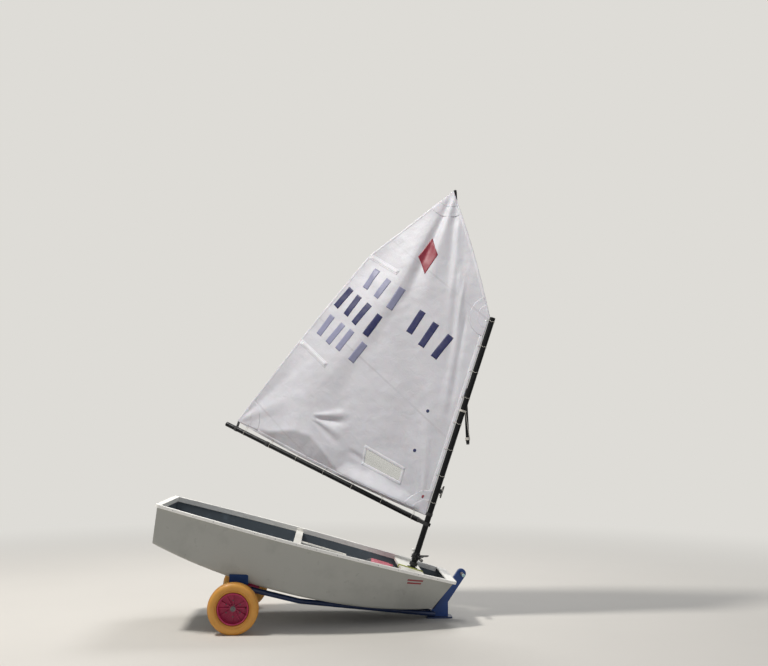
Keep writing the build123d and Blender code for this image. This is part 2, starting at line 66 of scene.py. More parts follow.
joints = {joint["name"]: joint for joint in frame["record"]["behaviour"]["joints"]}
port = Vector((0.0, 1.0, 0.0))
mast_foot = Vector(joints["mast_turn"]["pos_m"])
mast_up = Vector(joints["mast_turn"]["axis"]).normalized()
foot_aft = mast_up.cross(port) * math.cos(SAIL_SWING) + port * math.sin(SAIL_SWING)
sail_out = mast_up.cross(foot_aft)

# Rig frame: u aft along the foot, w out of the sail to starboard, v up the mast.
RIG = Matrix((foot_aft, sail_out, mast_up)).transposed().to_4x4()
RIG.translation = mast_foot
# Hull frame: x forward from the stern transom's top edge, y to port, z up.
HULL = Matrix.Rotation(TRIM, 4, "Y")
HULL.translation = mast_foot - HULL.to_3x3() @ Vector((1.944, 0.0, 0.380))
hull_forward, hull_up = (HULL.to_3x3() @ Vector(axis) for axis in ((1, 0, 0), (0, 0, 1)))


def rig(u, w, v):
    """A point of the rig, in metres, from millimetres."""
    return RIG @ (Vector((u, w, v)) * MM)


def hull(x, y, z):
    """A point of the hull, in metres, from millimetres."""
    return HULL @ (Vector((x, y, z)) * MM)


def linear(code):
    """The linear colour of an sRGB hex value."""
    parts = [int(code[i:i + 2], 16) / 255 for i in (1, 3, 5)]
    return [c / 12.92 if c < 0.04045 else ((c + 0.055) / 1.055) ** 2.4 for c in parts] + [1.0]


def smooth_step(x):
    """0 below 0, 1 above 1, and a smooth rise between."""
    x = min(max(x, 0.0), 1.0)
    return x * x * (3 - 2 * x)


def tint(code, name, description):
    """A colour setting with its default."""
    return FloatVectorProperty(
        name=name, description=description, default=linear(code), subtype="COLOR", size=4, min=0, max=1,
    )


def length(metres, name, description):
    """A length setting with its default."""
    return FloatProperty(
        name=name, description=description, default=metres, unit="LENGTH", subtype="DISTANCE", min=0,
    )


class DinghyColours(bpy.types.PropertyGroup):
    # Partly painted shade: the gelcoat is given the darker grey of the hull's shaded sides.
    hull: tint("#A8A9A4", "Hull", "Gelcoat of the hull's outside")
    gunwale: tint("#F6F5F0", "Gunwale", "Moulded rail round the hull")
    thwart: tint("#ECEAE2", "Thwarts", "Gelcoat of the thwarts and the daggerboard case")
    lining: tint("#3B454E", "Inside", "Paint inside the hull")
    spar: tint("#17181A", "Spars", "Anodised mast, boom and sprit")
    sail: tint("#D9D9E0", "Sail", "Polyester sailcloth")
    sail_tape: tint("#E6E6EC", "Sail tape", "Folded tape, patches and batten pockets")
    dark_mark: tint("#1B2157", "Dark bars", "Plain bars on the sail")
    # Painted shade: pale bars that stand for the dark bars of the other face, seen through the cloth.
    pale_mark: tint("#8F91AE", "Pale bars", "Plain bars of the other face, showing through")
    red_mark: tint("#8A1530", "Red shape", "Plain shape near the peak")
    # Paint of the post; the frame's finish darkens it to 38% as painted shade.
    trolley: tint("#003A7E", "Trolley", "Paint of the trolley's post and frame")
    chock: tint("#002C60", "Chocks", "Foam chocks at the sides")
    pad: tint("#101B38", "Pads", "Carpet on the chock at the bow and rubber on the rails")
    tyre: tint("#D89C45", "Tyres", "Balloon tyres")
    hub: tint("#B8285A", "Hubs", "Moulded hubs")
    bow_bag: tint("#AC1440", "Bow bag", "Buoyancy bag beside the mast thwart")
    side_bag: tint("#8D959B", "Side bags", "Buoyancy bags along the sides")
    webbing: tint("#131316", "Webbing", "Straps")
    cord: tint("#E6E2D8", "Cord", "Ties along the luff and the foot")
    bright_cord: tint("#B9C04A", "Bright cord", "Cord round the mast thwart")
    plug: tint("#A9C9CC", "Plugs", "End plugs of the trolley's handle")
    floor: tint("#D9D6D0", "Floor", "Plain floor of the stage")


class DinghySizes(bpy.types.PropertyGroup):
    cloth: length(0.0006, "Cloth", "Thickness of the sailcloth")
    tape: length(0.0016, "Tape", "Thickness of the tapes and patches over both faces")
    luff_tape: length(0.034, "Luff tape", "Width of the tape along the luff")
    foot_tape: length(0.026, "Foot tape", "Width of the tape along the foot")
    leech_hem: length(0.018, "Leech hem", "Width of the hem along the leech")
    pocket: length(0.046, "Batten pocket", "Width of the batten pockets")
    tie: length(0.0032, "Tie", "Diameter of the ties on the luff and the foot")
    lashing: length(0.005, "Lashing", "Diameter of the lashing at the mast thwart")
    mark: length(0.062, "Bar", "Width of the plain bars on the sail")
    luff_ties: IntProperty(name="Luff ties", description="Number of ties along the mast", default=8, min=2)
    foot_ties: IntProperty(name="Foot ties", description="Number of ties along the boom", default=7, min=2)


def colours():
    return bpy.context.scene.dinghy_colours


def sizes():
    return bpy.context.scene.dinghy_sizes


# Materials

WAVE = 0.314      # a wave texture of scale 1 repeats every 0.314 m
# Bump distances are real depths in metres.


def feed(tree, node, inputs):
    """Sets or links a node's inputs, by name or number. A node stands for its Fac or first output in use."""
    for name, value in inputs.items():
        if isinstance(value, bpy.types.Node):
            value = value.outputs.get("Fac") or next(socket for socket in value.outputs if socket.enabled)
        if isinstance(value, bpy.types.NodeSocket):
            tree.links.new(value, node.inputs[name])
        else:
            node.inputs[name].default_value = value


def add(tree, kind, inputs, **settings):
    """Adds a node, with its settings, and sets or links its inputs."""
    node = tree.nodes.new("ShaderNode" + kind)
    for name, value in settings.items():
        setattr(node, name, value)
    feed(tree, node, inputs)
    return node


def blank(name, colour, roughness, pattern_on="Object", **sockets):
    """A material with its shader's plain values set, and the coordinates that its patterns lie on."""
    material = bpy.data.materials.new(name)
    material.use_nodes = True
    tree = material.node_tree
    shader = tree.nodes["Principled BSDF"]
    feed(tree, shader, {"Base Color": colour, "Roughness": roughness})
    feed(tree, shader, {socket.replace("_", " "): value for socket, value in sockets.items()})
    return material, tree, shader, add(tree, "TexCoord", {}).outputs[pattern_on]


def scale_of(size):
    """A pattern's scale, from the size of its features in millimetres."""
    return 1000 / size


def shade(colour, share, lift=0.0):
    """A colour made darker or lighter by a share, and lifted."""
    return [min(1.0, part * share + lift) for part in list(colour)[:3]] + [1.0]


def mottle(tree, shader, space, clean, soiled, size, low, high):
    """Patches of a second colour, of a size in millimetres: they begin at low noise and are full at high."""
    cloud = add(
        tree, "TexNoise", {"Vector": space, "Scale": scale_of(size), "Detail": 6.0, "Roughness": 0.62},
    )
    share = add(tree, "MapRange", {"Value": cloud, "From Min": low, "From Max": high})
    mix = add(tree, "Mix", {0: share, 6: clean, 7: soiled}, data_type="RGBA")
    feed(tree, shader, {"Base Color": mix})


def rough_range(tree, shader, space, size, low, high):
    """Roughness that varies between two values, in patches of a size in millimetres."""
    cloud = add(tree, "TexNoise", {"Vector": space, "Scale": scale_of(size), "Detail": 4.0})
    share = add(
        tree, "MapRange", {"Value": cloud, "From Min": 0.3, "From Max": 0.7, "To Min": low, "To Max": high},
    )
    feed(tree, shader, {"Roughness": share})


def gelcoat(name, colour, soiled, roughness):
    """Polyester gelcoat from a polished mould: glossy, with a chalky bloom, faint streaks and scuffs."""
    material, tree, shader, space = blank(name, colour, roughness, Coat_Weight=0.25, Coat_Roughness=0.18)
    mottle(tree, shader, space, colour, soiled, 200, 0.50, 0.74)
    rough_range(tree, shader, space, 71.4, roughness - 0.08, roughness + 0.16)
    # Roller and mould ripple, 12 mm across
    ripple = add(tree, "TexNoise", {"Vector": space, "Scale": scale_of(12), "Detail": 2.0})
    bump = add(tree, "Bump", {"Height": ripple, "Distance": 0.0003, "Strength": 0.35})
    feed(tree, shader, {"Normal": bump})
    return material


def painted_lining():
    """Slate deck paint rolled on glass fibre: matt, stippled, with pale scuffs where sand and feet rub."""
    c = colours()
    material, tree, shader, space = blank("deck_paint_slate", c.lining, 0.62)
    mottle(tree, shader, space, c.lining, shade(c.lining, 1.9), 111, 0.54, 0.80)
    stipple = add(tree, "TexNoise", {"Vector": space, "Scale": scale_of(4), "Detail": 3.0})
    bump = add(tree, "Bump", {"Height": stipple, "Distance": 0.0006, "Strength": 0.6})
    feed(tree, shader, {"Normal": bump})
    return material


def moulded_plastic(name, colour, roughness, grain, scuff=1.25, cover=0.72):
    """Injection-moulded plastic, such as nylon or polypropylene: an even fine grain with lighter scuffs."""
    material, tree, shader, space = blank(name, colour, roughness)
    mottle(tree, shader, space, colour, shade(colour, scuff, 0.015), 45.5, 0.52, cover)
    rough_range(tree, shader, space, 25, roughness - 0.07, roughness + 0.1)
    grit = add(tree, "TexNoise", {"Vector": space, "Scale": scale_of(grain), "Detail": 2.0})
    bump = add(tree, "Bump", {"Height": grit, "Distance": 0.0002, "Strength": 0.5})
    feed(tree, shader, {"Normal": bump})
    return material


def anodised_aluminium():
    """Aluminium tube, drawn and black anodised: dark, with a soft metal sheen and worn grey specks."""
    c = colours()
    material, tree, shader, space = blank("black_anodised_aluminium", c.spar, 0.36, Metallic=0.75)
    mottle(tree, shader, space, c.spar, linear("#3A3B3D"), 29.4, 0.60, 0.86)
    rough_range(tree, shader, space, 38.5, 0.30, 0.48)
    return material


def steel(name, colour, low, high, size):
    """Stainless or galvanised steel: bright, with a cloudy or brushed surface."""
    material, tree, shader, space = blank(name, colour, low, Metallic=1.0)
    mottle(tree, shader, space, colour, shade(colour, 0.62), size, 0.45, 0.75)
    rough_range(tree, shader, space, size / 2, low, high)
    return material


def enamel(name, colour, chipped):
    """Brushed enamel on steel tube: half gloss, with faded patches and chips at knocks."""
    material, tree, shader, space = blank(name, colour, 0.42, Coat_Weight=0.15, Coat_Roughness=0.25)
    cloud = add(tree, "TexNoise", {"Vector": space, "Scale": scale_of(91), "Detail": 5.0})
    share = add(tree, "MapRange", {"Value": cloud, "From Min": 0.42, "From Max": 0.75})
    mix = add(tree, "Mix", {0: share, 6: colour, 7: shade(colour, 1.35, 0.01)}, data_type="RGBA")
    chips = add(tree, "TexNoise", {"Vector": space, "Scale": scale_of(16), "Detail": 8.0, "Roughness": 0.7})
    bare = add(tree, "MapRange", {"Value": chips, "From Min": 0.70, "From Max": 0.73})
    both = add(tree, "Mix", {0: bare, 6: mix, 7: chipped}, data_type="RGBA")
    feed(tree, shader, {"Base Color": both})
    bump = add(tree, "Bump", {"Height": bare, "Distance": -0.0004, "Strength": 0.8})
    feed(tree, shader, {"Normal": bump})
    return material


def foam(name, colour):
    """Closed-cell foam block with a cut skin: matt, with fine cells and rubbed paler patches."""
    material, tree, shader, space = blank(name, colour, 0.78)
    mottle(tree, shader, space, colour, shade(colour, 1.5, 0.02), 62.5, 0.50, 0.78)
    cells = add(tree, "TexVoronoi", {"Vector": space, "Scale": scale_of(5)})
    bump = add(tree, "Bump", {"Height": cells, "Distance": 0.0008, "Strength": 0.6})
    feed(tree, shader, {"Normal": bump})
    return material


def carpet(name, colour):
    """Needled carpet or rubbed rubber: very matt, with short tufts."""
    material, tree, shader, space = blank(name, colour, 0.92, Sheen_Weight=0.3, Sheen_Roughness=0.6)
    mottle(tree, shader, space, colour, shade(colour, 1.8), 33.3, 0.45, 0.8)
    tufts = add(tree, "TexNoise", {"Vector": space, "Scale": scale_of(3), "Detail": 4.0, "Roughness": 0.8})
    bump = add(tree, "Bump", {"Height": tufts, "Distance": 0.002, "Strength": 0.9})
    feed(tree, shader, {"Normal": bump})
    return material


def balloon_tyre():
    """Blow-moulded soft vinyl: smooth and slightly waxy, with patches of sand dust."""
    c = colours()
    material, tree, shader, space = blank(
        "soft_vinyl_orange", c.tyre, 0.44, Subsurface_Weight=0.08, Subsurface_Scale=0.01,
    )
    mottle(tree, shader, space, c.tyre, linear("#C98D3C"), 83.3, 0.46, 0.80)
    rough_range(tree, shader, space, 50, 0.36, 0.60)
    grit = add(tree, "TexNoise", {"Vector": space, "Scale": scale_of(3), "Detail": 3.0})
    bump = add(tree, "Bump", {"Height": grit, "Distance": 0.0003, "Strength": 0.5})
    feed(tree, shader, {"Normal": bump})
    return material


def webbing(name, colour):
    """Woven polyester webbing: ribs across the strap, 2 mm apart so that they show, and a dull sheen."""
    material, tree, shader, space = blank(name, colour, 0.7, Sheen_Weight=0.25)
    ribs = add(
        tree, "TexWave", {"Vector": space, "Scale": WAVE * scale_of(2), "Distortion": 0.6},
        bands_direction="DIAGONAL",
    )
    bump = add(tree, "Bump", {"Height": ribs, "Distance": 0.0006, "Strength": 0.7})
    feed(tree, shader, {"Normal": bump})
    return material


def coated_fabric(name, colour):
    """Vinyl-coated nylon, welded: a low gloss with creases and a faint weave, 3 mm so that it shows."""
    material, tree, shader, space = blank(name, colour, 0.42, Coat_Weight=0.2, Coat_Roughness=0.3)
    mottle(tree, shader, space, colour, shade(colour, 0.72), 77, 0.44, 0.82)
    crease = add(tree, "TexNoise", {"Vector": space, "Scale": scale_of(45), "Detail": 5.0, "Distortion": 1.2})
    weave = add(tree, "TexWave", {"Vector": space, "Scale": WAVE * scale_of(3)})
    both = add(tree, "Math", {0: weave, 1: 0.06, 2: crease}, operation="MULTIPLY_ADD")
    bump = add(tree, "Bump", {"Height": both, "Distance": 0.006, "Strength": 0.7})
    feed(tree, shader, {"Normal": bump})
    return material


def rope(name, colour):
    """Braided cord: matt, with crossing plaits 3 mm long."""
    material, tree, shader, space = blank(name, colour, 0.8, Sheen_Weight=0.2)
    plait = add(
        tree, "TexWave", {"Vector": space, "Scale": WAVE * scale_of(3), "Distortion": 2.0},
        bands_direction="DIAGONAL",
    )
    # Painted shade: the plait's grooves, low in the bump, are darkened to 60% of the cord's colour.
    mix = add(tree, "Mix", {0: plait, 6: shade(colour, 0.6), 7: colour}, data_type="RGBA")
    feed(tree, shader, {"Base Color": mix})
    bump = add(tree, "Bump", {"Height": plait, "Distance": 0.0008, "Strength": 0.8})
    feed(tree, shader, {"Normal": bump})
    return material


def sailcloth(name, colour, seamed):
    """Resin-filled woven polyester: crisp, slightly glossy, with a fine weave, creases and stitched seams."""
    material, tree, shader, uv = blank(
        name, colour, 0.52, "UV", Sheen_Weight=0.12, Subsurface_Weight=0.06, Subsurface_Scale=0.01,
    )
    # UV is in metres on the flat cloth. The weave is drawn at 1.5 mm, not the real 0.4 mm, so that it shows.
    warp = add(tree, "TexWave", {"Vector": uv, "Scale": WAVE * scale_of(1.5)}, bands_direction="X")
    weft = add(tree, "TexWave", {"Vector": uv, "Scale": WAVE * scale_of(1.5)}, bands_direction="Y")
    weave = add(tree, "Math", {0: warp, 1: weft}, operation="ADD")
    crumple = add(tree, "TexVoronoi", {"Vector": uv, "Scale": scale_of(110)}, feature="SMOOTH_F1")
    crinkle = add(
        tree, "TexNoise",
        {"Vector": uv, "Scale": scale_of(70), "Detail": 7.0, "Roughness": 0.6, "Distortion": 0.9},
    )
    folds = add(tree, "Math", {0: crumple, 1: 0.5, 2: crinkle}, operation="MULTIPLY_ADD")
    height = add(tree, "Math", {0: weave, 1: 0.012, 2: folds}, operation="MULTIPLY_ADD")
    bump = add(tree, "Bump", {"Height": height, "Distance": 0.006, "Strength": 0.55})
    feed(tree, shader, {"Normal": bump})
    cloud = add(tree, "TexNoise", {"Vector": uv, "Scale": scale_of(385), "Detail": 6.0})
    soft = add(tree, "MapRange", {"Value": cloud, "From Min": 0.40, "From Max": 0.78})
    shown = add(tree, "Mix", {0: soft, 6: colour, 7: shade(colour, 0.86)}, data_type="RGBA")
    if seamed:
        # Panels meet square to the leech, every 0.46 m: a lapped seam, drawn as a darker band.
        slanted = add(tree, "Mapping", {"Vector": uv, "Rotation": (0.0, 0.0, math.radians(-24))})
        split = add(tree, "SeparateXYZ", {"Vector": slanted})
        place = add(tree, "Math", {0: split.outputs["Y"], 1: 0.46}, operation="PINGPONG")
        lap = add(tree, "MapRange", {"Value": place, "From Min": 0.009, "From Max": 0.006})
        shown = add(tree, "Mix", {0: lap, 6: shown, 7: shade(colour, 0.88)}, data_type="RGBA")
    feed(tree, shader, {"Base Color": shown})
    return material


def sail_ink(name, colour):
    """Self-adhesive polyester cut from a roll: an even colour, glossier than the cloth, with its creases."""
    material, tree, shader, uv = blank(name, colour, 0.45, "UV")
    cloud = add(tree, "TexNoise", {"Vector": uv, "Scale": scale_of(30), "Detail": 5.0})
    share = add(tree, "MapRange", {"Value": cloud, "From Min": 0.45, "From Max": 0.8})
    mix = add(tree, "Mix", {0: share, 6: colour, 7: shade(colour, 0.8, 0.03)}, data_type="RGBA")
    feed(tree, shader, {"Base Color": mix})
    bump = add(tree, "Bump", {"Height": cloud, "Distance": 0.002, "Strength": 0.4})
    feed(tree, shader, {"Normal": bump})
    return material


def window_film():
    """Clear vinyl film: see-through and glossy, a little yellowed, with soft ripples."""
    material, tree, shader, uv = blank("clear_vinyl_film", linear("#B9BBB4"), 0.16, "UV", Alpha=0.30)
    ripple = add(tree, "TexNoise", {"Vector": uv, "Scale": scale_of(60), "Detail": 3.0, "Distortion": 0.8})
    bump = add(tree, "Bump", {"Height": ripple, "Distance": 0.008, "Strength": 0.6})
    feed(tree, shader, {"Normal": bump})
    return material


finishes = {}


def mix_finishes():
    """Makes every material once and keeps it under the name that the pieces use."""
    c = colours()
    finishes.update(
        # The hull's colour carries painted shade, darkened to the grey of its shaded sides.
        hull_white=gelcoat("gelcoat_white_painted_shade", c.hull, shade(c.hull, 0.84), 0.34),
        thwart_white=gelcoat("gelcoat_thwart", c.thwart, linear("#D9D4C4"), 0.40),
        gunwale_white=moulded_plastic("moulded_vinyl_white", c.gunwale, 0.5, 2, 0.82, 0.80),
        lining_slate=painted_lining(),
        fitting_black=moulded_plastic("glass_filled_nylon", c.spar, 0.5, 1.5, 2.0, 0.85),
        fitting_steel=steel("stainless_steel", linear("#C4C6C8"), 0.22, 0.42, 25),
        axle_steel=steel("galvanised_steel", linear("#6F6C6D"), 0.42, 0.62, 16.7),
        spar_black=anodised_aluminium(),
        webbing_black=webbing("polyester_webbing", c.webbing),
        sail_cloth=sailcloth("polyester_sailcloth", c.sail, True),
        sail_tape=sailcloth("sailcloth_tape", c.sail_tape, False),
        dark_mark=sail_ink("adhesive_navy", c.dark_mark),
        # Painted shade: a pale navy sheet where a dark bar of the other face shows through the cloth.
        pale_mark=sail_ink("navy_shadow_through_cloth", c.pale_mark),
        red_mark=sail_ink("adhesive_dark_red", c.red_mark),
        window=window_film(),
        rope_white=rope("braided_cord_white", c.cord),
        rope_black=rope("braided_cord_black", c.webbing),
        rope_bright=rope("braided_cord_bright", c.bright_cord),
        # Painted shade: the frame is the post's blue darkened to 38%, for the frame lying in shade under the
        # hull.
        trolley_blue=enamel("enamel_blue_frame_painted_shade", shade(c.trolley, 0.38), linear("#4B3A30")),
        post_blue=enamel("enamel_blue_post", c.trolley, linear("#6B5240")),
        chock_blue=foam("foam_blue", c.chock),
        pad_navy=carpet("carpet_navy", c.pad),
        tyre_orange=balloon_tyre(),
        hub_crimson=moulded_plastic("polypropylene_crimson", c.hub, 0.38, 2, 1.5, 0.8),
        plug_pale=moulded_plastic("polythene_plug", c.plug, 0.45, 2),
        hull_bar=sail_ink("adhesive_dull_red", linear("#8C3038")),
        ball_white=moulded_plastic("nylon_ball", linear("#F2F1EC"), 0.3, 2, 0.9),
        bag_red=coated_fabric("coated_nylon_red", c.bow_bag),
        bag_grey=coated_fabric("coated_nylon_grey", c.side_bag),
    )
    finishes["batten_white"] = finishes["sail_tape"]


# Making pieces

RIM_ANGLE = 0.8       # a plug's edges sharper than this, in radians, are rounded
RAY_LENGTH = 0.5      # how far a ray looks for a surface, in metres
SUNK = 0.0002         # how far a bolt's head starts inside its solid


def finish_piece(name, bm, finish, body, slot=None, outwards=True):
    """Turns a bmesh into a smooth piece that rides on a body. Its slot argument is not used."""
    if outwards:
        bmesh.ops.recalc_face_normals(bm, faces=bm.faces)
    mesh = bpy.data.meshes.new(name)
    bm.to_mesh(mesh)
    bm.free()
    for face in mesh.polygons:
        face.use_smooth = True
    mesh.materials.append(finishes[finish])
    piece = bpy.data.objects.new(name, mesh)
    bpy.context.scene.collection.objects.link(piece)
    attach(piece, body)
    slot or finish
    return piece


def thicken(piece, thickness):
    """Gives a sheet its thickness, half on each side of its own surface."""
    wall = piece.modifiers.new("Thickness", "SOLIDIFY")
    wall.thickness = thickness
    wall.offset = 0.0


def grid(across, along, place):
    """A sheet of across by along faces. place gives a corner's point from two shares from -0.5 to 0.5."""
    bm = bmesh.new()
    bmesh.ops.create_grid(bm, x_segments=across, y_segments=along, size=0.5)
    for vert in bm.verts:
        vert.co = place(vert.co.x, vert.co.y)
    return bm


def turned(place, direction, front="Z", top="Y"):
    """A place in metres, turned so that its front axis looks in a direction."""
    return Matrix.Translation(place) @ Vector(direction).to_track_quat(front, top).to_matrix().to_4x4()


def edges_of(made):
    """The edges at the vertices that an operator made, in a fixed order."""
    return list(dict.fromkeys(edge for vert in made["verts"] for edge in vert.link_edges))


def turn_angles(count, first=0.0):
    """Angles evenly round a circle, the first of them a share of a step on."""
    return [math.tau * (i + first) / count for i in range(count)]


def ring(bm, centre, axis, major, minor, around, section):
    """A round ring: a small circle spun about an axis."""
    start = turned(centre, axis) @ Matrix.Translation((major, 0, 0)) @ Matrix.Rotation(math.pi / 2, 4, "X")
    made = bmesh.ops.create_circle(bm, segments=section, radius=minor, matrix=start)
    bmesh.ops.spin(
        bm, geom=made["verts"] + edges_of(made), cent=centre, axis=Vector(axis).normalized(), angle=math.tau,
        steps=around, use_merge=True,
    )


def plug(bm, start, end, radius, segments, chamfer=0.0, end_radius=None):
    """A round solid from one point to another, with its ends' edges rounded."""
    made = bmesh.ops.create_cone(
        bm, cap_ends=True, segments=segments, radius1=radius, radius2=end_radius or radius,
        depth=(end - start).length, matrix=turned((start + end) / 2, end - start),
    )
    if chamfer:
        edges = [edge for edge in edges_of(made) if len(edge.link_faces) == 2]
        rims = [edge for edge in edges if edge.calc_face_angle() > RIM_ANGLE]
        bmesh.ops.bevel(bm, geom=rims, offset=chamfer, segments=3, affect="EDGES", profile=0.5, material=-1)


def cord(bm, points, radius, closed=True):
    """A tight cord through points: circles set across it and bridged."""
    last = len(points) - 1
    rims = []
    for i, point in enumerate(points):
        behind, ahead = points[i - 1], points[(i + 1) % len(points)]
        if not closed:
            behind, ahead = points[max(i - 1, 0)], points[min(i + 1, last)]
        capped = not closed and i in (0, last)
        made = bmesh.ops.create_circle(
            bm, cap_ends=capped, segments=8, radius=radius, matrix=turned(point, ahead - behind),
        )
        rims.append(edges_of(made))
    for here, there in zip(rims, rims[1:] + (rims[:1] if closed else [])):
        bmesh.ops.bridge_loops(bm, edges=here + there)


def face_tree(obj):
    """The faces of an object, ready for rays, in the world's frame."""
    bm = bmesh.new()
    bm.from_mesh(obj.data)
    bm.transform(obj.matrix_world)
    tree = BVHTree.FromBMesh(bm)
    bm.free()
    return tree


def bolt_heads(name, node, body, spots, radius, proud, metal):
    """Domed heads pressed on a solid, each where a ray from a spot along a way meets it."""
    tree = face_tree(frame["nodes"][node])
    bm = bmesh.new()
    for spot, way in spots:
        hit, normal, _, _ = tree.ray_cast(spot, Vector(way).normalized(), RAY_LENGTH)
        if hit:
            plug(bm, hit - normal * SUNK, hit + normal * proud, radius, 14, proud * 0.6, radius * 0.8)
    finish_piece(name, bm, metal, body)


# The sail's surface, in millimetres of the rig frame

TACK, THROAT, PEAK = (30.0, 411.0), (30.0, 2060.0), (690.0, 3030.0)
KINK, CLEW = (1262.0, 2330.0), (1992.0, 622.0)
LEECH_MIDDLE = (1654.0, 1457.0)
HEAD_ROUND, FOOT_ROUND = 20.0, 33.0      # how far the head and the foot are cut round outwards
BELLY = 10.0                             # how far the whole sail is blown to starboard
DEEPEST = -21.0                          # the sprit lies just behind this

INK = 0.0003                             # thickness of the plain marks, in metres
INK_OFF = 0.75                           # how far a mark's middle lies off the cloth's
BATTEN = 0.0046                          # how thick a pocket is over its batten, in metres

# Folds: where each begins and ends, its width there, and its height to starboard.
FOLDS = (
    (700, 2960, 770, 2120, 22, 60, -14),      # shaded valley from the peak to the upper batten
    (660, 2960, 620, 2060, 22, 80, 12),
    (640, 2960, 440, 2150, 18, 60, -9),
    (560, 2780, 300, 1900, 22, 60, 9),        # creases off the sprit's line
    (440, 2420, 190, 1500, 20, 48, -9),
    (330, 2280, 150, 1250, 16, 42, 8),
    (230, 2040, 95, 1150, 14, 34, -6),
    (1262, 866, 965, 968, 12, 44, 15),        # creases that meet above the boom
    (1262, 858, 955, 900, 10, 34, -16),
    (1258, 852, 960, 792, 10, 34, 13),
    (1240, 840, 930, 700, 10, 40, -9),
    (840, 690, 430, 590, 20, 40, -12),        # furrow over the roll
    (1960, 640, 1300, 1120, 14, 120, 9),      # rays from the clew
    (1960, 660, 1560, 1300, 14, 80, -8),
    (120, 480, 600, 1180, 12, 90, -8),        # rays from the tack
    (90, 520, 330, 1400, 12, 70, 7),
    (1240, 2290, 700, 1500, 30, 110, 9),      # slack under the upper batten
    (1130, 2100, 640, 1240, 40, 120, -10),
)

# The line that the cloth folds about: the stiff leech lies on one side, the slack belly on the other.
HINGE = ((690, 3030), (812, 2500), (862, 2100), (1090, 1550), (1278, 1130), (1251, 860))
HINGE_HEIGHT = 56.0
CREASE = 0.30                            # the share of that height which drops at once, beside the line

# Slack over the boom, by u: the height over the foot of the lens-shaped hollow's upper lip, and how far it
# stands out.
LIP = (
    (1830, 20, 0), (1740, 38, 8), (1634, 62, 20), (1513, 118, 32), (1387, 172, 38), (1226, 196, 38),
    (1112, 156, 32), (987, 86, 20), (900, 44, 8), (857, 20, 0),
)
HOLLOW = 16.0                            # how far the hollow under the lip goes to port
# The roll of cloth under the window, by u: its height over the foot and how far it stands out.
ROLL = (
    (900, 60, 0), (820, 120, 34), (690, 132, 58), (539, 124, 66), (398, 108, 64), (259, 96, 50),
    (147, 72, 30), (60, 60, 0),
)
WINDOW = ((312, 566), (700, 618), (716, 776), (318, 706))
# Batten pockets: the inner and the outer end of each.
POCKETS = (("upper", (915, 2227), (1252, 2327)), ("lower", (1288, 1305), (1640, 1450)))
LOZENGE = ((684, 2270), (796, 2406), (740, 2594), (628, 2458))
# Dots: the place, radius and finish of each.
DOTS = ((281, 1190, 14, "dark_mark"), (285, 860, 14, "dark_mark"), (97, 539, 13, "red_mark"))
# Bars: the top and bottom of each, and its finish to starboard. A pale finish is painted shade: a dark bar of
# the other face, seen through the cloth.
BARS = (
    ((1324, 2009), (1417, 1822), "dark_mark"),
    ((1213, 1960), (1283, 1770), "dark_mark"),
    ((1082, 1907), (1170, 1714), "dark_mark"),
    ((947, 1839), (1022, 1642), "dark_mark"),
    ((1416, 1739), (1488, 1547), "pale_mark"),
    ((1273, 1690), (1363, 1495), "pale_mark"),
    ((1157, 1654), (1237, 1463), "pale_mark"),
    ((1004, 1575), (1078, 1400), "pale_mark"),
    ((1134, 2221), (1190, 2036), "pale_mark"),
    ((982, 2155), (1048, 1978), "pale_mark"),
    ((830, 2108), (887, 1909), "pale_mark"),
    ((593, 1963), (652, 1759), "dark_mark"),
    ((449, 1894), (516, 1680), "dark_mark"),
    ((297, 1827), (379, 1617), "dark_mark"),
)


def edge_point(corners, share):
    """A point on a broken line, by its share of the whole length."""
    runs = [math.dist(a, b) for a, b in zip(corners, corners[1:])]
    left = share * sum(runs)
    for a, b, run in zip(corners, corners[1:], runs):
        if left <= run or b == corners[-1]:
            part = min(left / run, 1.0)
            return Vector((a[0] + (b[0] - a[0]) * part, a[1] + (b[1] - a[1]) * part))
        left -= run


def arc_points(start, middle, end, count=24):
    """Points on the arc through three points, as in the CAD source."""
    a, b, c = Vector(start), Vector(middle), Vector(end)
    d = 2 * (a.x * (b.y - c.y) + b.x * (c.y - a.y) + c.x * (a.y - b.y))
    sa, sb, sc = a.length_squared, b.length_squared, c.length_squared
    centre = Vector((
        (sa * (b.y - c.y) + sb * (c.y - a.y) + sc * (a.y - b.y)) / d,
        (sa * (c.x - b.x) + sb * (a.x - c.x) + sc * (b.x - a.x)) / d,
    ))
    first, last = a - centre, c - centre
    turn = first.angle_signed(last)
    return [tuple(centre + Matrix.Rotation(-turn * i / count, 2) @ first) for i in range(count + 1)]


def sides(corners):
    """The sides of a closed outline, each as two corners."""
    return list(zip(corners, corners[1:] + corners[:1]))


leech_line = [PEAK] + arc_points(KINK, LEECH_MIDDLE, CLEW)
head_middle = (
    (THROAT[0] + PEAK[0]) / 2 - 0.826 * HEAD_ROUND,
    (THROAT[1] + PEAK[1]) / 2 + 0.563 * HEAD_ROUND,
)
head_line = arc_points(THROAT, head_middle, PEAK, 12)
luff_line = [TACK, THROAT]
foot_line = arc_points(TACK, ((TACK[0] + CLEW[0]) / 2, (TACK[1] + CLEW[1]) / 2 - FOOT_ROUND), CLEW)


def flat_point(s, t):
    """A point of the flat sail: s from luff to leech, t from foot to head."""
    foot, head = edge_point(foot_line, s), edge_point(head_line, s)
    luff, leech = edge_point(luff_line, t), edge_point(leech_line[::-1], t)
    low = Vector(TACK) * (1 - s) * (1 - t) + Vector(CLEW) * s * (1 - t)
    high = Vector(THROAT) * (1 - s) * t + Vector(PEAK) * s * t
    return luff * (1 - s) + leech * s + foot * (1 - t) + head * t - (low + high)


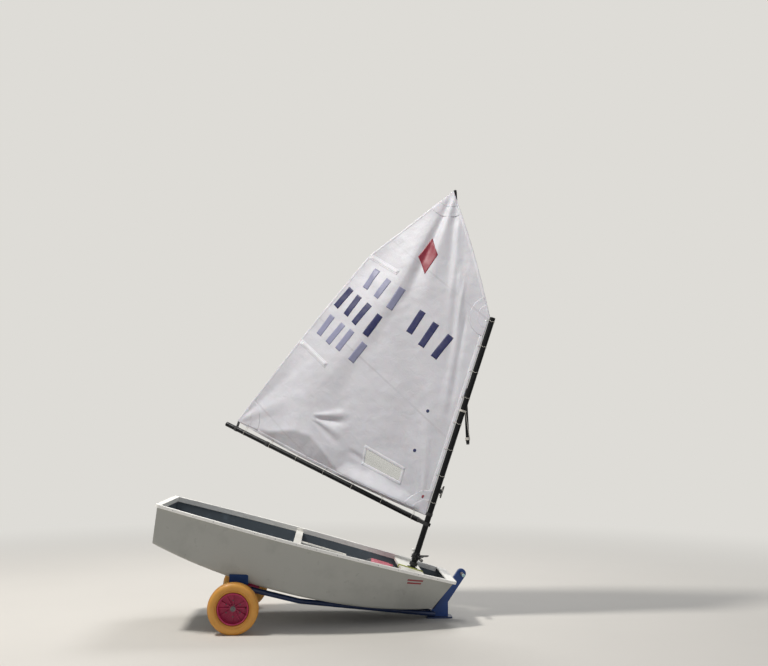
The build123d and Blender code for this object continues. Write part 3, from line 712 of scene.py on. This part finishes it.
def fold_rise(u, v):
    """How far the folds raise the cloth at a point."""
    rise = 0.0
    for from_u, from_v, to_u, to_v, from_width, to_width, height in FOLDS:
        run_u, run_v = to_u - from_u, to_v - from_v
        along = ((u - from_u) * run_u + (v - from_v) * run_v) / (run_u ** 2 + run_v ** 2)
        if not -0.15 < along < 1.25:
            continue
        off = abs((u - from_u) * run_v - (v - from_v) * run_u) / math.hypot(run_u, run_v)
        width = from_width + (to_width - from_width) * min(max(along, 0), 1)
        ends = smooth_step((along + 0.08) / 0.22) * smooth_step((1.2 - along) / 0.5)
        rise += height * ends * math.exp(-((off / width) ** 2))
    return rise


def hinge_rise(u, v):
    """How far the cloth stands out beside the hinge line: falling soon to the leech, slowly to the luff."""
    nearest, to_leech = 1e9, True
    here = Vector((u, v))
    for a, b in zip(HINGE, HINGE[1:]):
        run = Vector(b) - Vector(a)
        along = min(max((here - Vector(a)).dot(run) / run.length_squared, 0.0), 1.0)
        away = here - Vector(a) - run * along
        if away.length < nearest:
            nearest, to_leech = away.length, run.cross(away) > 0
    from_peak = math.dist((u, v), PEAK)
    height = HINGE_HEIGHT * smooth_step(from_peak / 1000)
    height *= (0.5 + 0.5 * smooth_step((v - 800) / 900)) * smooth_step((v - 430) / 330)
    if to_leech:
        return height * (1 - smooth_step(nearest / (90 + 0.30 * min(from_peak, 1200))))
    drop = CREASE * smooth_step(nearest / (30 + 0.08 * from_peak))
    return height * (1 - drop - (1 - CREASE) * min(1.0, nearest / (140 + 0.42 * from_peak)))


def between(table, u):
    """A table's values at u, by straight lines between its rows, or None outside it."""
    for (u_0, *first), (u_1, *last) in zip(table, table[1:]):
        if u_1 <= u <= u_0:
            part = (u_0 - u) / (u_0 - u_1)
            return [a + (b - a) * part for a, b in zip(first, last)]
    return None


def foot_rise(u, v):
    """How far the slack over the boom stands out: a lip over a hollow near the clew, a roll near the mast."""
    lip, roll = between(LIP, u), between(ROLL, u)
    if not (lip or roll):
        return 0.0
    over = v - edge_point(foot_line, (u - TACK[0]) / (CLEW[0] - TACK[0])).y
    rise = 0.0
    if lip:
        high, out = lip
        under = min(HOLLOW, out * 0.6)
        if over < 0:
            rise -= under
        elif over < high:
            rise += (out + under) * (over / high) ** 1.15 - under
        else:
            rise += out * math.exp(-(over - high) / 120)
    if roll:
        high, out = roll
        rise += out * smooth_step((over + 6) / 34) * (1 - smooth_step((over - 14) / (high * 1.15)))
    return rise


def cloth_out(u, v):
    """How far the cloth lies out of the sail's plane, to starboard."""
    rise = fold_rise(u, v) + hinge_rise(u, v) + foot_rise(u, v)
    across, up = min(max((u - 30) / 1500, 0), 1), min(max((v - 450) / 2100, 0), 1)
    rise += BELLY * math.sin(math.pi * across) * math.sin(math.pi * up)
    rise += 5.0 * noise.noise(Vector((u / 230, v / 170, 1.7)))
    rise += 2.2 * noise.noise(Vector((u / 80, v / 60, 4.1)))
    # The luff and the corners are tied down
    slack = smooth_step((u - 30) / 110)
    for corner in (TACK, THROAT, PEAK, CLEW):
        slack *= smooth_step(math.dist((u, v), corner) / 120)
    return max(rise, DEEPEST) * slack


def on_sail(u, v, off=0.0):
    """A point of the cloth in metres, raised off it by off millimetres."""
    return rig(u, cloth_out(u, v) + off, v)


# Pieces of cloth on the sail. Each place takes two shares from 0 to 1 and gives a flat point.


def sail_patch(name, place, across, along, finish, thickness=None, off=0.0, keep=None):
    """A piece of cloth on the sail, off it by off millimetres; keep drops the faces that it is false for."""
    bm = grid(across, along, lambda x, y: Vector(place(x + 0.5, y + 0.5)).to_3d())
    if keep:
        gone = [face for face in bm.faces if not keep(*face.calc_center_median().xy)]
        bmesh.ops.delete(bm, geom=gone, context="FACES")
    flat = bm.loops.layers.uv.new("flat")
    for face in bm.faces:
        for corner in face.loops:
            corner[flat].uv = corner.vert.co.xy * MM
    for vert in bm.verts:
        vert.co = on_sail(vert.co.x, vert.co.y, off)
    piece = finish_piece(name, bm, finish, "boom", "sail_cloth", outwards=False)
    thicken(piece, sizes().tape if thickness is None else thickness)
    return piece


def quad_on(corners):
    """A four-sided piece: from its first corner to its second by a, to its fourth by b."""
    one, two, three, four = map(Vector, corners)
    return lambda a, b: one.lerp(two, a).lerp(four.lerp(three, a), b)


def bar_on(start, end, width):
    """A straight bar between two points: across it by a, along it by b."""
    run = end - start
    side = Vector((-run.y, run.x)).normalized() * width / 2
    return quad_on((start - side, start + side, end + side, end - side))


def strip_on(edge, inward, width):
    """A strip along an edge: across it by a, along it by b. It laps 6% of its width over the edge."""
    def place(a, b):
        ahead = edge_point(edge, min(b + 0.01, 1.0)) - edge_point(edge, max(b - 0.01, 0.0))
        side = Vector((-ahead.y, ahead.x)).normalized() * inward
        return edge_point(edge, b) + side * width * (a - 0.06)
    return place


def fan_on(corner, first, second, reach):
    """A reinforcing patch: a fan at a corner, between two edges."""
    one = (Vector(first) - Vector(corner)).normalized()
    two = (Vector(second) - Vector(corner)).normalized()
    return lambda a, b: Vector(corner) + one.lerp(two, a).normalized() * (3 + reach * b)


def disc_on(u, v, radius):
    """A round patch: round it by a, out from its middle by b."""
    def place(a, b):
        turn = math.tau * a
        return Vector((u + math.cos(turn) * radius * b, v + math.sin(turn) * radius * b))
    return place


def in_window(u, v, margin):
    """Whether a flat point is inside the window, by a margin."""
    for a, b in sides(WINDOW):
        run = Vector(b) - Vector(a)
        if run.cross(Vector((u, v)) - Vector(a)) / run.length < margin:
            return False
    return True


def on_both(name, place, across, along, near, far):
    """A thin shape on each face of the sail, in each face's finish. The dark and red finishes are adhesive
    cloth; the pale finish is painted shade, where the other face's dark shape shows through.
    """
    return [
        sail_patch(f"{name}_{face}", place, across, along, finish, INK, off)
        for face, off, finish in (("near", INK_OFF, near), ("far", -INK_OFF, far))
    ]


# Bags and straps

BAG_SIZE = 0.975          # a bag's girth beside its solid's, before it is blown up
BAG_DENTS = 0.014         # how much its girth wanders
STRAP_PINCH = 0.05        # how much a strap pulls it in
END_PLEATS = 0.08         # how deep its ends are pleated
BAG_CLEAR = 0.0004        # its points stay this far inside the solid, in metres
BAG_MESH = 0.006          # the size of its faces
PINCH_REACH = 0.026       # how far along the bag a strap's pinch reaches
PLEATS, PLEATED = 11, 0.72    # pleats round each end, and the share of the half length where they begin
BAG_STRAP, BAG_STRAP_WIDTH = 0.0014, 0.038    # thickness and width
TOE_STRAP, TOE_STRAP_WIDTH = 0.0022, 0.05
# Each toe strap, by how far forward it is and how high, in the hull's frame.
TOE_STRAP_PATH = (
    (47, 118), (70, 112), (140, 98), (300, 78), (520, 66), (740, 66), (900, 76), (980, 88), (1029, 98),
)


def blow_up(piece, frames=16, pressure=3.0, growth=0.03, reach=0.010):
    """Blows a closed mesh up with the Cloth modifier, then keeps each point within reach of its start."""
    start = [vert.co.copy() for vert in piece.data.vertices]
    cloth = piece.modifiers.new("Cloth", "CLOTH")
    cloth.settings.quality = 6
    cloth.settings.mass = 0.3
    cloth.settings.use_pressure = True
    cloth.settings.uniform_pressure_force = pressure
    cloth.settings.shrink_min = -growth
    cloth.settings.bending_stiffness = 0.4
    cloth.settings.effector_weights.gravity = 0.0
    cloth.collision_settings.use_collision = False
    cloth.point_cache.frame_start = 1
    cloth.point_cache.frame_end = frames
    scene = bpy.context.scene
    for number in range(1, frames + 1):
        scene.frame_set(number)
    blown = piece.evaluated_get(bpy.context.evaluated_depsgraph_get())
    ends = [vert.co.copy() for vert in blown.data.vertices]
    piece.modifiers.remove(cloth)
    for vert, begin, end in zip(piece.data.vertices, start, ends):
        move = end - begin
        vert.co = begin + move * min(1.0, reach / max(move.length, 1e-9))
    scene.frame_set(1)


def remeshed_copy(name, source, voxel):
    """A copy of a solid with an even mesh, in the world's frame."""
    mesh = source.data.copy()
    mesh.transform(source.matrix_world)
    mesh.materials.clear()
    piece = bpy.data.objects.new(name, mesh)
    bpy.context.scene.collection.objects.link(piece)
    fine = piece.modifiers.new("Remesh", "REMESH")
    fine.mode = "VOXEL"
    fine.voxel_size = voxel
    even = bpy.data.meshes.new_from_object(piece.evaluated_get(bpy.context.evaluated_depsgraph_get()))
    piece.modifiers.remove(fine)
    piece.data = even
    return piece


def bag_piece(name, node, finish, straps):
    """A buoyancy bag, blown up from its CAD solid, pinched by its straps and creased at its ends."""
    source = frame["nodes"][node]
    limit = face_tree(source)
    corners = [source.matrix_world @ vert.co for vert in source.data.vertices]
    reaches = [corner.dot(hull_forward) for corner in corners]
    half = (max(reaches) - min(reaches)) / 2
    middle = sum(corners, Vector()) / len(corners)
    middle += hull_forward * (min(reaches) + half - middle.dot(hull_forward))

    piece = remeshed_copy(name, source, BAG_MESH)
    piece.data.materials.append(finishes[finish])
    for vert in piece.data.vertices:
        off = vert.co - middle
        along = off.dot(hull_forward)
        spoke = off - hull_forward * along
        angle = math.atan2(spoke.z, spoke.y)
        size = BAG_SIZE + BAG_DENTS * noise.noise(Vector((along * 9, angle * 1.5, 3.0)))
        for strap in straps:
            size -= STRAP_PINCH * math.exp(-(((along - strap * half) / PINCH_REACH) ** 2))
        end = smooth_step((abs(along) / half - PLEATED) / (1 - PLEATED))
        size -= END_PLEATS * end * (0.5 + 0.5 * math.sin(angle * PLEATS + along * 9))
        vert.co = middle + hull_forward * along * 0.98 + spoke * size
    blow_up(piece)
    # No point leaves the solid
    for vert in piece.data.vertices:
        hit, normal, _, _ = limit.find_nearest(vert.co)
        if (vert.co - hit).dot(normal) > -BAG_CLEAR:
            vert.co = hit - normal * BAG_CLEAR
    for face in piece.data.polygons:
        face.use_smooth = True
    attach(piece, "hull")
    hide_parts(node)

    skin = face_tree(piece)
    up = hull_forward.orthogonal().normalized()
    across = hull_forward.cross(up)
    for i, strap in enumerate(straps):
        def on_skin(x, y, centre=middle + hull_forward * strap * half):
            spoke = up * math.cos(math.tau * x) + across * math.sin(math.tau * x)
            hit, _, _, _ = skin.ray_cast(centre + hull_forward * BAG_STRAP_WIDTH * y, spoke, RAY_LENGTH)
            return (hit or centre + spoke * 0.1) + spoke * 0.0008
        bm = grid(56, 3, on_skin)
        bmesh.ops.remove_doubles(bm, verts=bm.verts, dist=0.00002)
        thicken(finish_piece(f"{name}_strap_{i}", bm, "webbing_black", "hull"), BAG_STRAP)
    hit, normal, _, _ = skin.ray_cast(middle + hull_forward * half * 0.5, hull_up, RAY_LENGTH)
    if hit:
        bm = bmesh.new()
        plug(bm, hit - normal * 0.002, hit + normal * 0.003, 0.016, 28, 0.0012, 0.013)
        plug(bm, hit + normal * 0.003, hit + normal * 0.009, 0.008, 20, 0.001, 0.007)
        finish_piece(f"{name}_valve", bm, "fitting_black", "hull")
    smooth = piece.modifiers.new("Smooth", "SUBSURF")
    smooth.levels = smooth.render_levels = 1


# Cords at the mast

WINDING_STEPS = 22        # points in each turn of a winding
TIE_SLACK = 0.7           # how far a tie stays off the spar, in millimetres


def mast(x, y, v):
    """A point of the mast's frame in metres: x forward, y to port, v up it."""
    return mast_foot + (port.cross(mast_up) * x + port * y + mast_up * v) * MM


def winding(bm, seed, out, low, high, turns, radius, wander):
    """A cord wound round the mast, its ends tucked under the turns."""
    points = []
    count = WINDING_STEPS * turns
    for i in range(count + 1):
        angle = math.tau * i / WINDING_STEPS
        reach = out + wander * (0.5 + 0.5 * noise.noise(Vector((i * 0.13, seed, 2.0))))
        points.append(mast(math.cos(angle) * reach, math.sin(angle) * reach, low + (high - low) * i / count))
    cord(bm, points, radius, closed=False)


def bight(bm, out, wide, low, lift, bearing, radius):
    """A bight of the tied bow, drawn tight at the winding and stiff enough to stand out from the mast."""
    c, s = math.cos(math.radians(bearing)), math.sin(math.radians(bearing))
    points = []
    for t in turn_angles(30):
        open_up = 0.5 - 0.5 * math.cos(t)
        along = 26 + (out - 26) * open_up
        side = wide * math.sin(t) * open_up ** 0.5
        rise = low + lift * (along / out) ** 2 + 0.35 * side
        points.append(mast(along * c - side * s, along * s + side * c, rise))
    cord(bm, points, radius)


# Operators


class BuildOperator:
    """What the building operators share."""
    bl_options = {"REGISTER", "UNDO"}


class DINGHY_OT_camera(BuildOperator, bpy.types.Operator):
    """Sets the camera at the photograph's angle"""
    bl_idname = "dinghy.camera"
    bl_label = "Camera"

    def execute(self, context):
        camera = bpy.data.objects.new("camera", bpy.data.cameras.new("camera"))
        context.scene.collection.objects.link(camera)
        camera.data.sensor_width = 36.0
        camera.data.lens = 43.9
        camera.data.clip_end = 200.0
        camera.matrix_world = turned((-0.8934, -7.3469, 1.403), (0.06359, 0.99225, 0.10680), "-Z")
        context.scene.camera = camera
        return {"FINISHED"}


class DINGHY_OT_finishes(BuildOperator, bpy.types.Operator):
    """Mixes the materials and puts them on the solids of the frame"""
    bl_idname = "dinghy.finishes"
    bl_label = "Materials"

    def execute(self, context):
        mix_finishes()
        slots = {part["node"]: part["material_slot"] for part in frame["record"]["subparts"]}
        for name, node in frame["nodes"].items():
            material = finishes[slots[name]]
            if node.material_slots:
                for place in node.material_slots:
                    place.material = material
            else:
                node.data.materials.append(material)
        return {"FINISHED"}


class DINGHY_OT_sail(BuildOperator, bpy.types.Operator):
    """Cuts the sail with its folds, tapes, patches, batten pockets, window and plain marks"""
    bl_idname = "dinghy.sail"
    bl_label = "Sail"

    def execute(self, context):
        s = sizes()
        cloth = sail_patch(
            "sail_cloth", flat_point, 150, 170, "sail_cloth", s.cloth,
            keep=lambda u, v: not in_window(u, v, 10.0),
        )
        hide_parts("sail")
        trim = []
        for name, edge, inward, width, count in (
            ("luff_tape", luff_line, -1, s.luff_tape, 150),
            ("foot_tape", foot_line, 1, s.foot_tape, 160),
            ("head_tape", head_line, -1, s.leech_hem * 1.3, 60),
            ("leech_hem", leech_line, -1, s.leech_hem, 200),
        ):
            trim.append(sail_patch(name, strip_on(edge, inward, width / MM), 4, count, "sail_tape"))
        for name, corner, first, second, reaches in (
            ("tack", TACK, THROAT, CLEW, (190, 120)),
            ("throat", THROAT, PEAK, TACK, (170, 100)),
            ("peak", PEAK, KINK, THROAT, (230, 140)),
            ("clew", CLEW, LEECH_MIDDLE, TACK, (230, 140)),
        ):
            for layer, reach in enumerate(reaches):
                place = fan_on(corner, first, second, reach)
                thickness = s.tape * (1.15 + 0.5 * layer)
                trim.append(sail_patch(f"patch_{name}_{layer}", place, 14, 22, "sail_cloth", thickness))
        for name, inner, outer in POCKETS:
            inner, outer, wide = Vector(inner), Vector(outer), s.pocket / MM
            place = bar_on(inner, outer, wide)
            pocket = sail_patch(f"pocket_{name}", place, 8, 30, "sail_tape", s.tape * 1.2)
            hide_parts(f"batten_{name}")
            spine = bar_on(inner.lerp(outer, 0.04), inner.lerp(outer, 0.95), wide * 0.5)
            trim += [sail_patch(f"batten_in_{name}", spine, 4, 24, "sail_tape", BATTEN), pocket]
        trim.append(sail_patch("window_film", quad_on(WINDOW), 30, 14, "window", s.cloth))
        for i, side in enumerate(sides(WINDOW)):
            trim.append(sail_patch(f"window_hem_{i}", strip_on(side, 1, 24.0), 3, 30, "sail_tape"))
        for i, (u, v, radius, finish) in enumerate(DOTS):
            trim += on_both(f"dot_{i}", disc_on(u, v, radius), 24, 3, finish, finish)
        for i, (top, bottom, near) in enumerate(BARS):
            # A bar that is dark on one face is painted as pale shade on the other, where it shows through.
            far = "dark_mark" if near == "pale_mark" else "pale_mark"
            trim += on_both(f"bar_{i}", bar_on(Vector(top), Vector(bottom), s.mark / MM), 6, 18, near, far)
        trim += on_both("lozenge", quad_on(LOZENGE), 16, 16, "red_mark", "red_mark")
        edge = luff_line + head_line[1:-1] + leech_line + foot_line[::-1][1:-1]
        area = abs(sum(a[0] * b[1] - b[0] * a[1] for a, b in sides(edge))) / 2 * MM * MM
        return {"FINISHED"}


class DINGHY_OT_ties(BuildOperator, bpy.types.Operator):
    """Ties the luff to the mast and the foot to the boom, each through an eyelet"""
    bl_idname = "dinghy.ties"
    bl_label = "Ties"

    def execute(self, context):
        s = sizes()
        tie = s.tie / MM / 2
        ties, rings = bmesh.new(), bmesh.new()

        def eyelet(u, v):
            ring(rings, on_sail(u, v), sail_out, 0.0062, 0.0017, 22, 8)

        out = MAST_RADIUS + tie + TIE_SLACK
        low, high = 520, THROAT[1] - 40
        for i in range(s.luff_ties):
            v = low + (high - low) * i / (s.luff_ties - 1)
            angles = [math.radians(a) for a in range(52, 310, 12)]
            spots = [(out * math.cos(a), out * math.sin(a)) for a in angles]
            spots += [(30, -12.0), (42, -5.2), (48.5, 0.0), (42, 5.2), (30, 12.0)]
            cord(ties, [rig(u, w, v + 3 * math.sin(k)) for k, (u, w) in enumerate(spots)], s.tie / 2)
            eyelet(43, v)
        out = BOOM_RADIUS + tie + TIE_SLACK
        low, high = 130, 1880
        for i in range(s.foot_ties):
            u = low + (high - low) * i / (s.foot_ties - 1)
            axis_v = BOOM_V + u * BOOM_LIFT
            foot = min(foot_line, key=lambda spot: abs(spot[0] - u))[1] + 15
            top, lean = foot - axis_v, cloth_out(u, foot)
            angles = [math.radians(a) for a in range(48, 314, 12)]
            spots = [(out * math.sin(a), out * math.cos(a)) for a in angles]
            bend = ((-8.0, -12), (-4.6, -3), (0, 3), (4.6, -3), (8.0, -12))
            spots += [(lean + w, top + up) for w, up in bend]
            cord(ties, [rig(u - up * BOOM_LIFT, w, axis_v + up) for w, up in spots], s.tie / 2)
            eyelet(u - top * BOOM_LIFT, foot)
        finish_piece("sail_ties", ties, "rope_white", "boom")
        finish_piece("eyelets", rings, "fitting_steel", "boom")
        return {"FINISHED"}


class DINGHY_OT_bags(BuildOperator, bpy.types.Operator):
    """Blows up the buoyancy bags and lays the toe straps"""
    bl_idname = "dinghy.bags"
    bl_label = "Bags and straps"

    def execute(self, context):
        bag_piece("bow_bag", "bag_bow", "bag_red", (-0.78, 0.78))
        bag_piece("side_bag_port", "bag_port", "bag_grey", (-0.62, 0.0, 0.62))
        bag_piece("side_bag_starboard", "bag_starboard", "bag_grey", (-0.62, 0.0, 0.62))
        for side, name in SIDES:
            points = [hull(x, side * 66, z) for x, z in TOE_STRAP_PATH]
            last = len(points) - 1
            strap = grid(last, 3, lambda x, y: points[round((x + 0.5) * last)] + port * TOE_STRAP_WIDTH * y)
            piece = finish_piece(f"toe_strap_{name}", strap, "webbing_black", "hull", outwards=False)
            thicken(piece, TOE_STRAP)
        return {"FINISHED"}


class DINGHY_OT_lashings(BuildOperator, bpy.types.Operator):
    """Winds the cords at the foot of the mast and on its cleat"""
    bl_idname = "dinghy.lashings"
    bl_label = "Lashings"

    def execute(self, context):
        black = sizes().lashing / 2
        bm = bmesh.new()
        winding(bm, 0.0, MAST_RADIUS + black / MM + 0.4, 62, 118, 9, black, 2.0)
        winding(bm, 5.0, MAST_RADIUS + 3 * black / MM + 0.6, 74, 104, 4, black, 5.0)
        for out, wide, low, lift, bearing in (
            (98, 17, 104, 22, -30), (80, 20, 98, 6, -58), (62, 14, 88, -14, -20), (70, 16, 92, -22, -44),
        ):
            bight(bm, out, wide, low, lift, bearing, black * 1.35)
        finish_piece("mast_lashing", bm, "rope_black", "mast", "webbing_black")

        bm = bmesh.new()
        ball = mast(-35, -10, 131)
        at_ball = Matrix.Translation(mast(-35.5, -10, 131))
        bmesh.ops.create_uvsphere(bm, u_segments=28, v_segments=18, radius=0.0115, matrix=at_ball)
        plug(bm, mast(-20, -9, 124), ball, 0.0024, 12)
        finish_piece("cord_ball", bm, "ball_white", "mast", "fitting_black")

        bm = bmesh.new()
        horn = MAST_RADIUS + 14 + 4.8 - 7.5
        for turn in range(2):
            wide, tall = 3.0 * turn, 33 + 3 * turn
            cord(bm, [
                mast(horn + 3.5 * math.cos(2 * a) + wide, 12.5 * math.sin(2 * a), 620 + tall * math.sin(a))
                for a in turn_angles(36)
            ], 0.0017)
        finish_piece("cleat_cord", bm, "rope_white", "mast")

        bm = bmesh.new()
        top, low, front, back = 383.2, 358.8, 2021.2, 1828.8
        for turn in range(4):
            # Each corner of the turn: how far forward, how far it has wandered to starboard, and how high
            path = (
                (back, 0, low + 4), (back, 0, top - 4), (back + 3, 0, top), (1890, 5, top + 0.3),
                (1950, 12, top + 0.3), (front - 3, 16, top), (front, 16, top - 4), (front, 16, low + 4),
                (front - 3, 16, low), (1925, 8, low - 0.3), (back + 3, 0, low),
            )
            cord(bm, [hull(x, -44 - turn * 8 - wander, z) for x, wander, z in path], 0.0025)
        finish_piece("thwart_lashing", bm, "rope_bright", "hull", "rope_white")
        return {"FINISHED"}


class DINGHY_OT_fittings(BuildOperator, bpy.types.Operator):
    """Adds screws, plugs, wheel bolts, valves, seams and the plain bars on the hull"""
    bl_idname = "dinghy.fittings"
    bl_label = "Fittings"

    def execute(self, context):
        for side, name in SIDES:
            spots = []
            for i in range(14):
                x = 120 + i * 152
                sheer = 341 + (398 - 341) * x / 2232
                spots.append((hull(x, side * 700, sheer + 1), -side * port))
            rail = f"gunwale_{name}"
            bolt_heads(f"rail_screws_{name}", rail, "hull", spots, 0.0042, 0.0016, "fitting_steel")
        for name, z in (("upper", 240), ("lower", 120)):
            spots = [(hull(-60, y, z), hull_forward) for y in (-24, 24)]
            plate = f"stern_gudgeon_{name}"
            bolt_heads(f"gudgeon_bolts_{name}", plate, "hull", spots, 0.004, 0.002, "fitting_steel")
        plugs, ends = bmesh.new(), bmesh.new()
        for side, name in SIDES:
            out = side * port
            end = Vector((0.175, side * 0.130, 0.330))
            plug(plugs, end - out * 0.012, end, 0.0106, 28)
            plug(plugs, end, end + out * 0.0035, 0.0128, 32, 0.0014, 0.0112)
            end = AXLE + out * 0.553
            plug(ends, end, end + out * 0.004, 0.0105, 28, 0.0018, 0.0085)
            pin = turned(end - out * 0.006, (0.3, 0, 1))
            plug(ends, pin @ Vector((0, 0, -0.024)), pin @ Vector((0, 0, 0.024)), 0.0017, 12, 0.0005)
            ring(ends, pin @ Vector((0, 0, 0.027)), out, 0.0042, 0.0014, 20, 8)
        finish_piece("handle_plugs", plugs, "plug_pale", "hull", "axle_steel")
        finish_piece("axle_ends", ends, "axle_steel", "hull")
        for side, name in SIDES:
            body, out = f"wheel_{name}", side * port
            middle = AXLE + out * 0.530
            spots = []
            for a in turn_angles(6, 0.5):
                spots.append((middle + Vector((math.cos(a) * 0.056, side * 0.1, math.sin(a) * 0.056)), -out))
            bolt_heads(f"hub_bolts_{name}", f"hub_{name}", body, spots, 0.006, 0.004, "axle_steel")
            bm = bmesh.new()
            for off, major, minor, around in (
                (0, 0.179, 0.0006, 96), (-0.030, 0.1778, 0.0012, 96), (0.030, 0.1778, 0.0012, 96),
                (side * 0.0485, 0.119, 0.0012, 80), (side * 0.0485, 0.128, 0.0012, 80),
            ):
                ring(bm, middle + port * off, port, major, minor, around, 6)
            finish_piece(f"tyre_seams_{name}", bm, "tyre_orange", body)
            bm = bmesh.new()
            spot = middle + Vector((0.086, side * 0.022, 0.0))
            plug(bm, spot - out * 0.046, spot - out * 0.012, 0.004, 16, 0.0008)
            finish_piece(f"valve_{name}", bm, "fitting_black", body)
        for i, (low, high, z) in enumerate(((1886, 2012, 326), (1894, 2006, 300))):
            def beside(x, y):
                along = (high - low) * (x + 0.5)
                return hull(low + along, -430, z + 15 * y + 0.05 * along)
            bm = grid(16, 3, beside)
            bar = finish_piece(f"hull_bar_{i}", bm, "hull_bar", "hull", "hull_white", outwards=False)
            press = bar.modifiers.new("Press", "SHRINKWRAP")
            press.target = frame["nodes"]["hull_shell"]
            press.wrap_method = "NEAREST_SURFACEPOINT"
            press.wrap_mode = "OUTSIDE_SURFACE"
            press.offset = 0.0005
        return {"FINISHED"}


def paper(name, colour, backdrop):
    """Matt seamless paper: an even pale tone that runs into the backdrop behind the object."""
    material, tree, shader, space = blank(name, colour, 0.95, Specular_IOR_Level=0.1)
    mottle(tree, shader, space, colour, shade(colour, 0.97), 1667, 0.3, 0.7)
    away = add(tree, "VectorMath", {0: space, 1: (-1.0, 0.0, 0.0)}, operation="DISTANCE").outputs["Value"]
    reach = {"Value": away, "From Min": 2.6, "From Max": 8.5}
    far = add(tree, "MapRange", reach, interpolation_type="SMOOTHSTEP")
    seen = add(tree, "LightPath", {}).outputs["Is Camera Ray"]
    shown = add(tree, "Math", {0: far, 1: seen}, operation="MULTIPLY")
    behind = add(tree, "Emission", {"Color": backdrop})
    mix = add(tree, "MixShader", {0: shown, 1: shader, 2: behind})
    feed(tree, tree.nodes["Material Output"], {"Surface": mix})
    return material


class DINGHY_OT_stage(BuildOperator, bpy.types.Operator):
    """Lays the plain floor and sets the soft studio light"""
    bl_idname = "dinghy.stage"
    bl_label = "Stage"

    def execute(self, context):
        scene = context.scene
        scene.view_settings.view_transform = "Standard"
        backdrop = linear("#DEDCD7")
        bm = bmesh.new()
        bmesh.ops.create_circle(bm, cap_ends=True, segments=96, radius=40.0)
        mesh = bpy.data.meshes.new("floor")
        bm.to_mesh(mesh)
        bm.free()
        floor = bpy.data.objects.new("floor", mesh)
        scene.collection.objects.link(floor)
        mesh.materials.append(paper("paper_floor", colours().floor, backdrop))
        for name, place, aim, size, power, tone in (
            ("key", (-5.13, -0.61, 9.0), (-0.9, 0.2, 1.1), 1.3, 650.0, "#FFFBF5"),
            ("fill", (2.5, -7.5, 4.5), (-0.9, 0.2, 1.2), 5.0, 42.0, "#EEF3FF"),
            ("back", (0.8, 4.0, 7.5), (-0.8, 0.2, 1.0), 3.0, 230.0, "#FFFFFF"),
        ):
            light = bpy.data.lights.new(name, "AREA")
            light.shape = "DISK"
            light.size = size
            light.energy = power
            light.color = linear(tone)[:3]
            lamp = bpy.data.objects.new(name, light)
            scene.collection.objects.link(lamp)
            lamp.matrix_world = turned(place, Vector(aim) - Vector(place), "-Z")
        world = bpy.data.worlds.new("studio")
        scene.world = world
        world.use_nodes = True
        tree = world.node_tree
        tree.nodes.clear()
        rays = add(tree, "LightPath", {}).outputs
        seen = add(tree, "Math", {0: rays["Is Camera Ray"], 1: rays["Is Glossy Ray"]}, operation="MAXIMUM")
        soft = add(tree, "Background", {"Color": linear("#F1F3F8"), "Strength": 0.29})
        shown = add(tree, "Background", {"Color": backdrop, "Strength": 1.0})
        both = add(tree, "MixShader", {0: seen, 1: soft, 2: shown})
        add(tree, "OutputWorld", {"Surface": both})
        return {"FINISHED"}


class DINGHY_PT_panel(bpy.types.Panel):
    """Lists what the dresser builds"""
    bl_label = "Dinghy"
    bl_idname = "DINGHY_PT_panel"
    bl_space_type = "VIEW_3D"
    bl_region_type = "UI"
    bl_category = "Dinghy"

    def draw(self, context):
        for operator in builders:
            self.layout.operator(operator.bl_idname)
        for group in (context.scene.dinghy_sizes, context.scene.dinghy_colours):
            for name in type(group).__annotations__:
                self.layout.prop(group, name)


builders = (
    DINGHY_OT_camera,
    DINGHY_OT_finishes,
    DINGHY_OT_sail,
    DINGHY_OT_ties,
    DINGHY_OT_bags,
    DINGHY_OT_lashings,
    DINGHY_OT_fittings,
    DINGHY_OT_stage,
)
classes = (DinghyColours, DinghySizes, *builders, DINGHY_PT_panel)


def register():
    for item in classes:
        bpy.utils.register_class(item)
    bpy.types.Scene.dinghy_colours = PointerProperty(type=DinghyColours)
    bpy.types.Scene.dinghy_sizes = PointerProperty(type=DinghySizes)


def unregister():
    del bpy.types.Scene.dinghy_sizes
    del bpy.types.Scene.dinghy_colours
    for item in reversed(classes):
        bpy.utils.unregister_class(item)


def main():
    register()
    for operator in builders:
        group, name = operator.bl_idname.split(".")
        getattr(getattr(bpy.ops, group), name)()


if __name__ == "__main__":
    main()
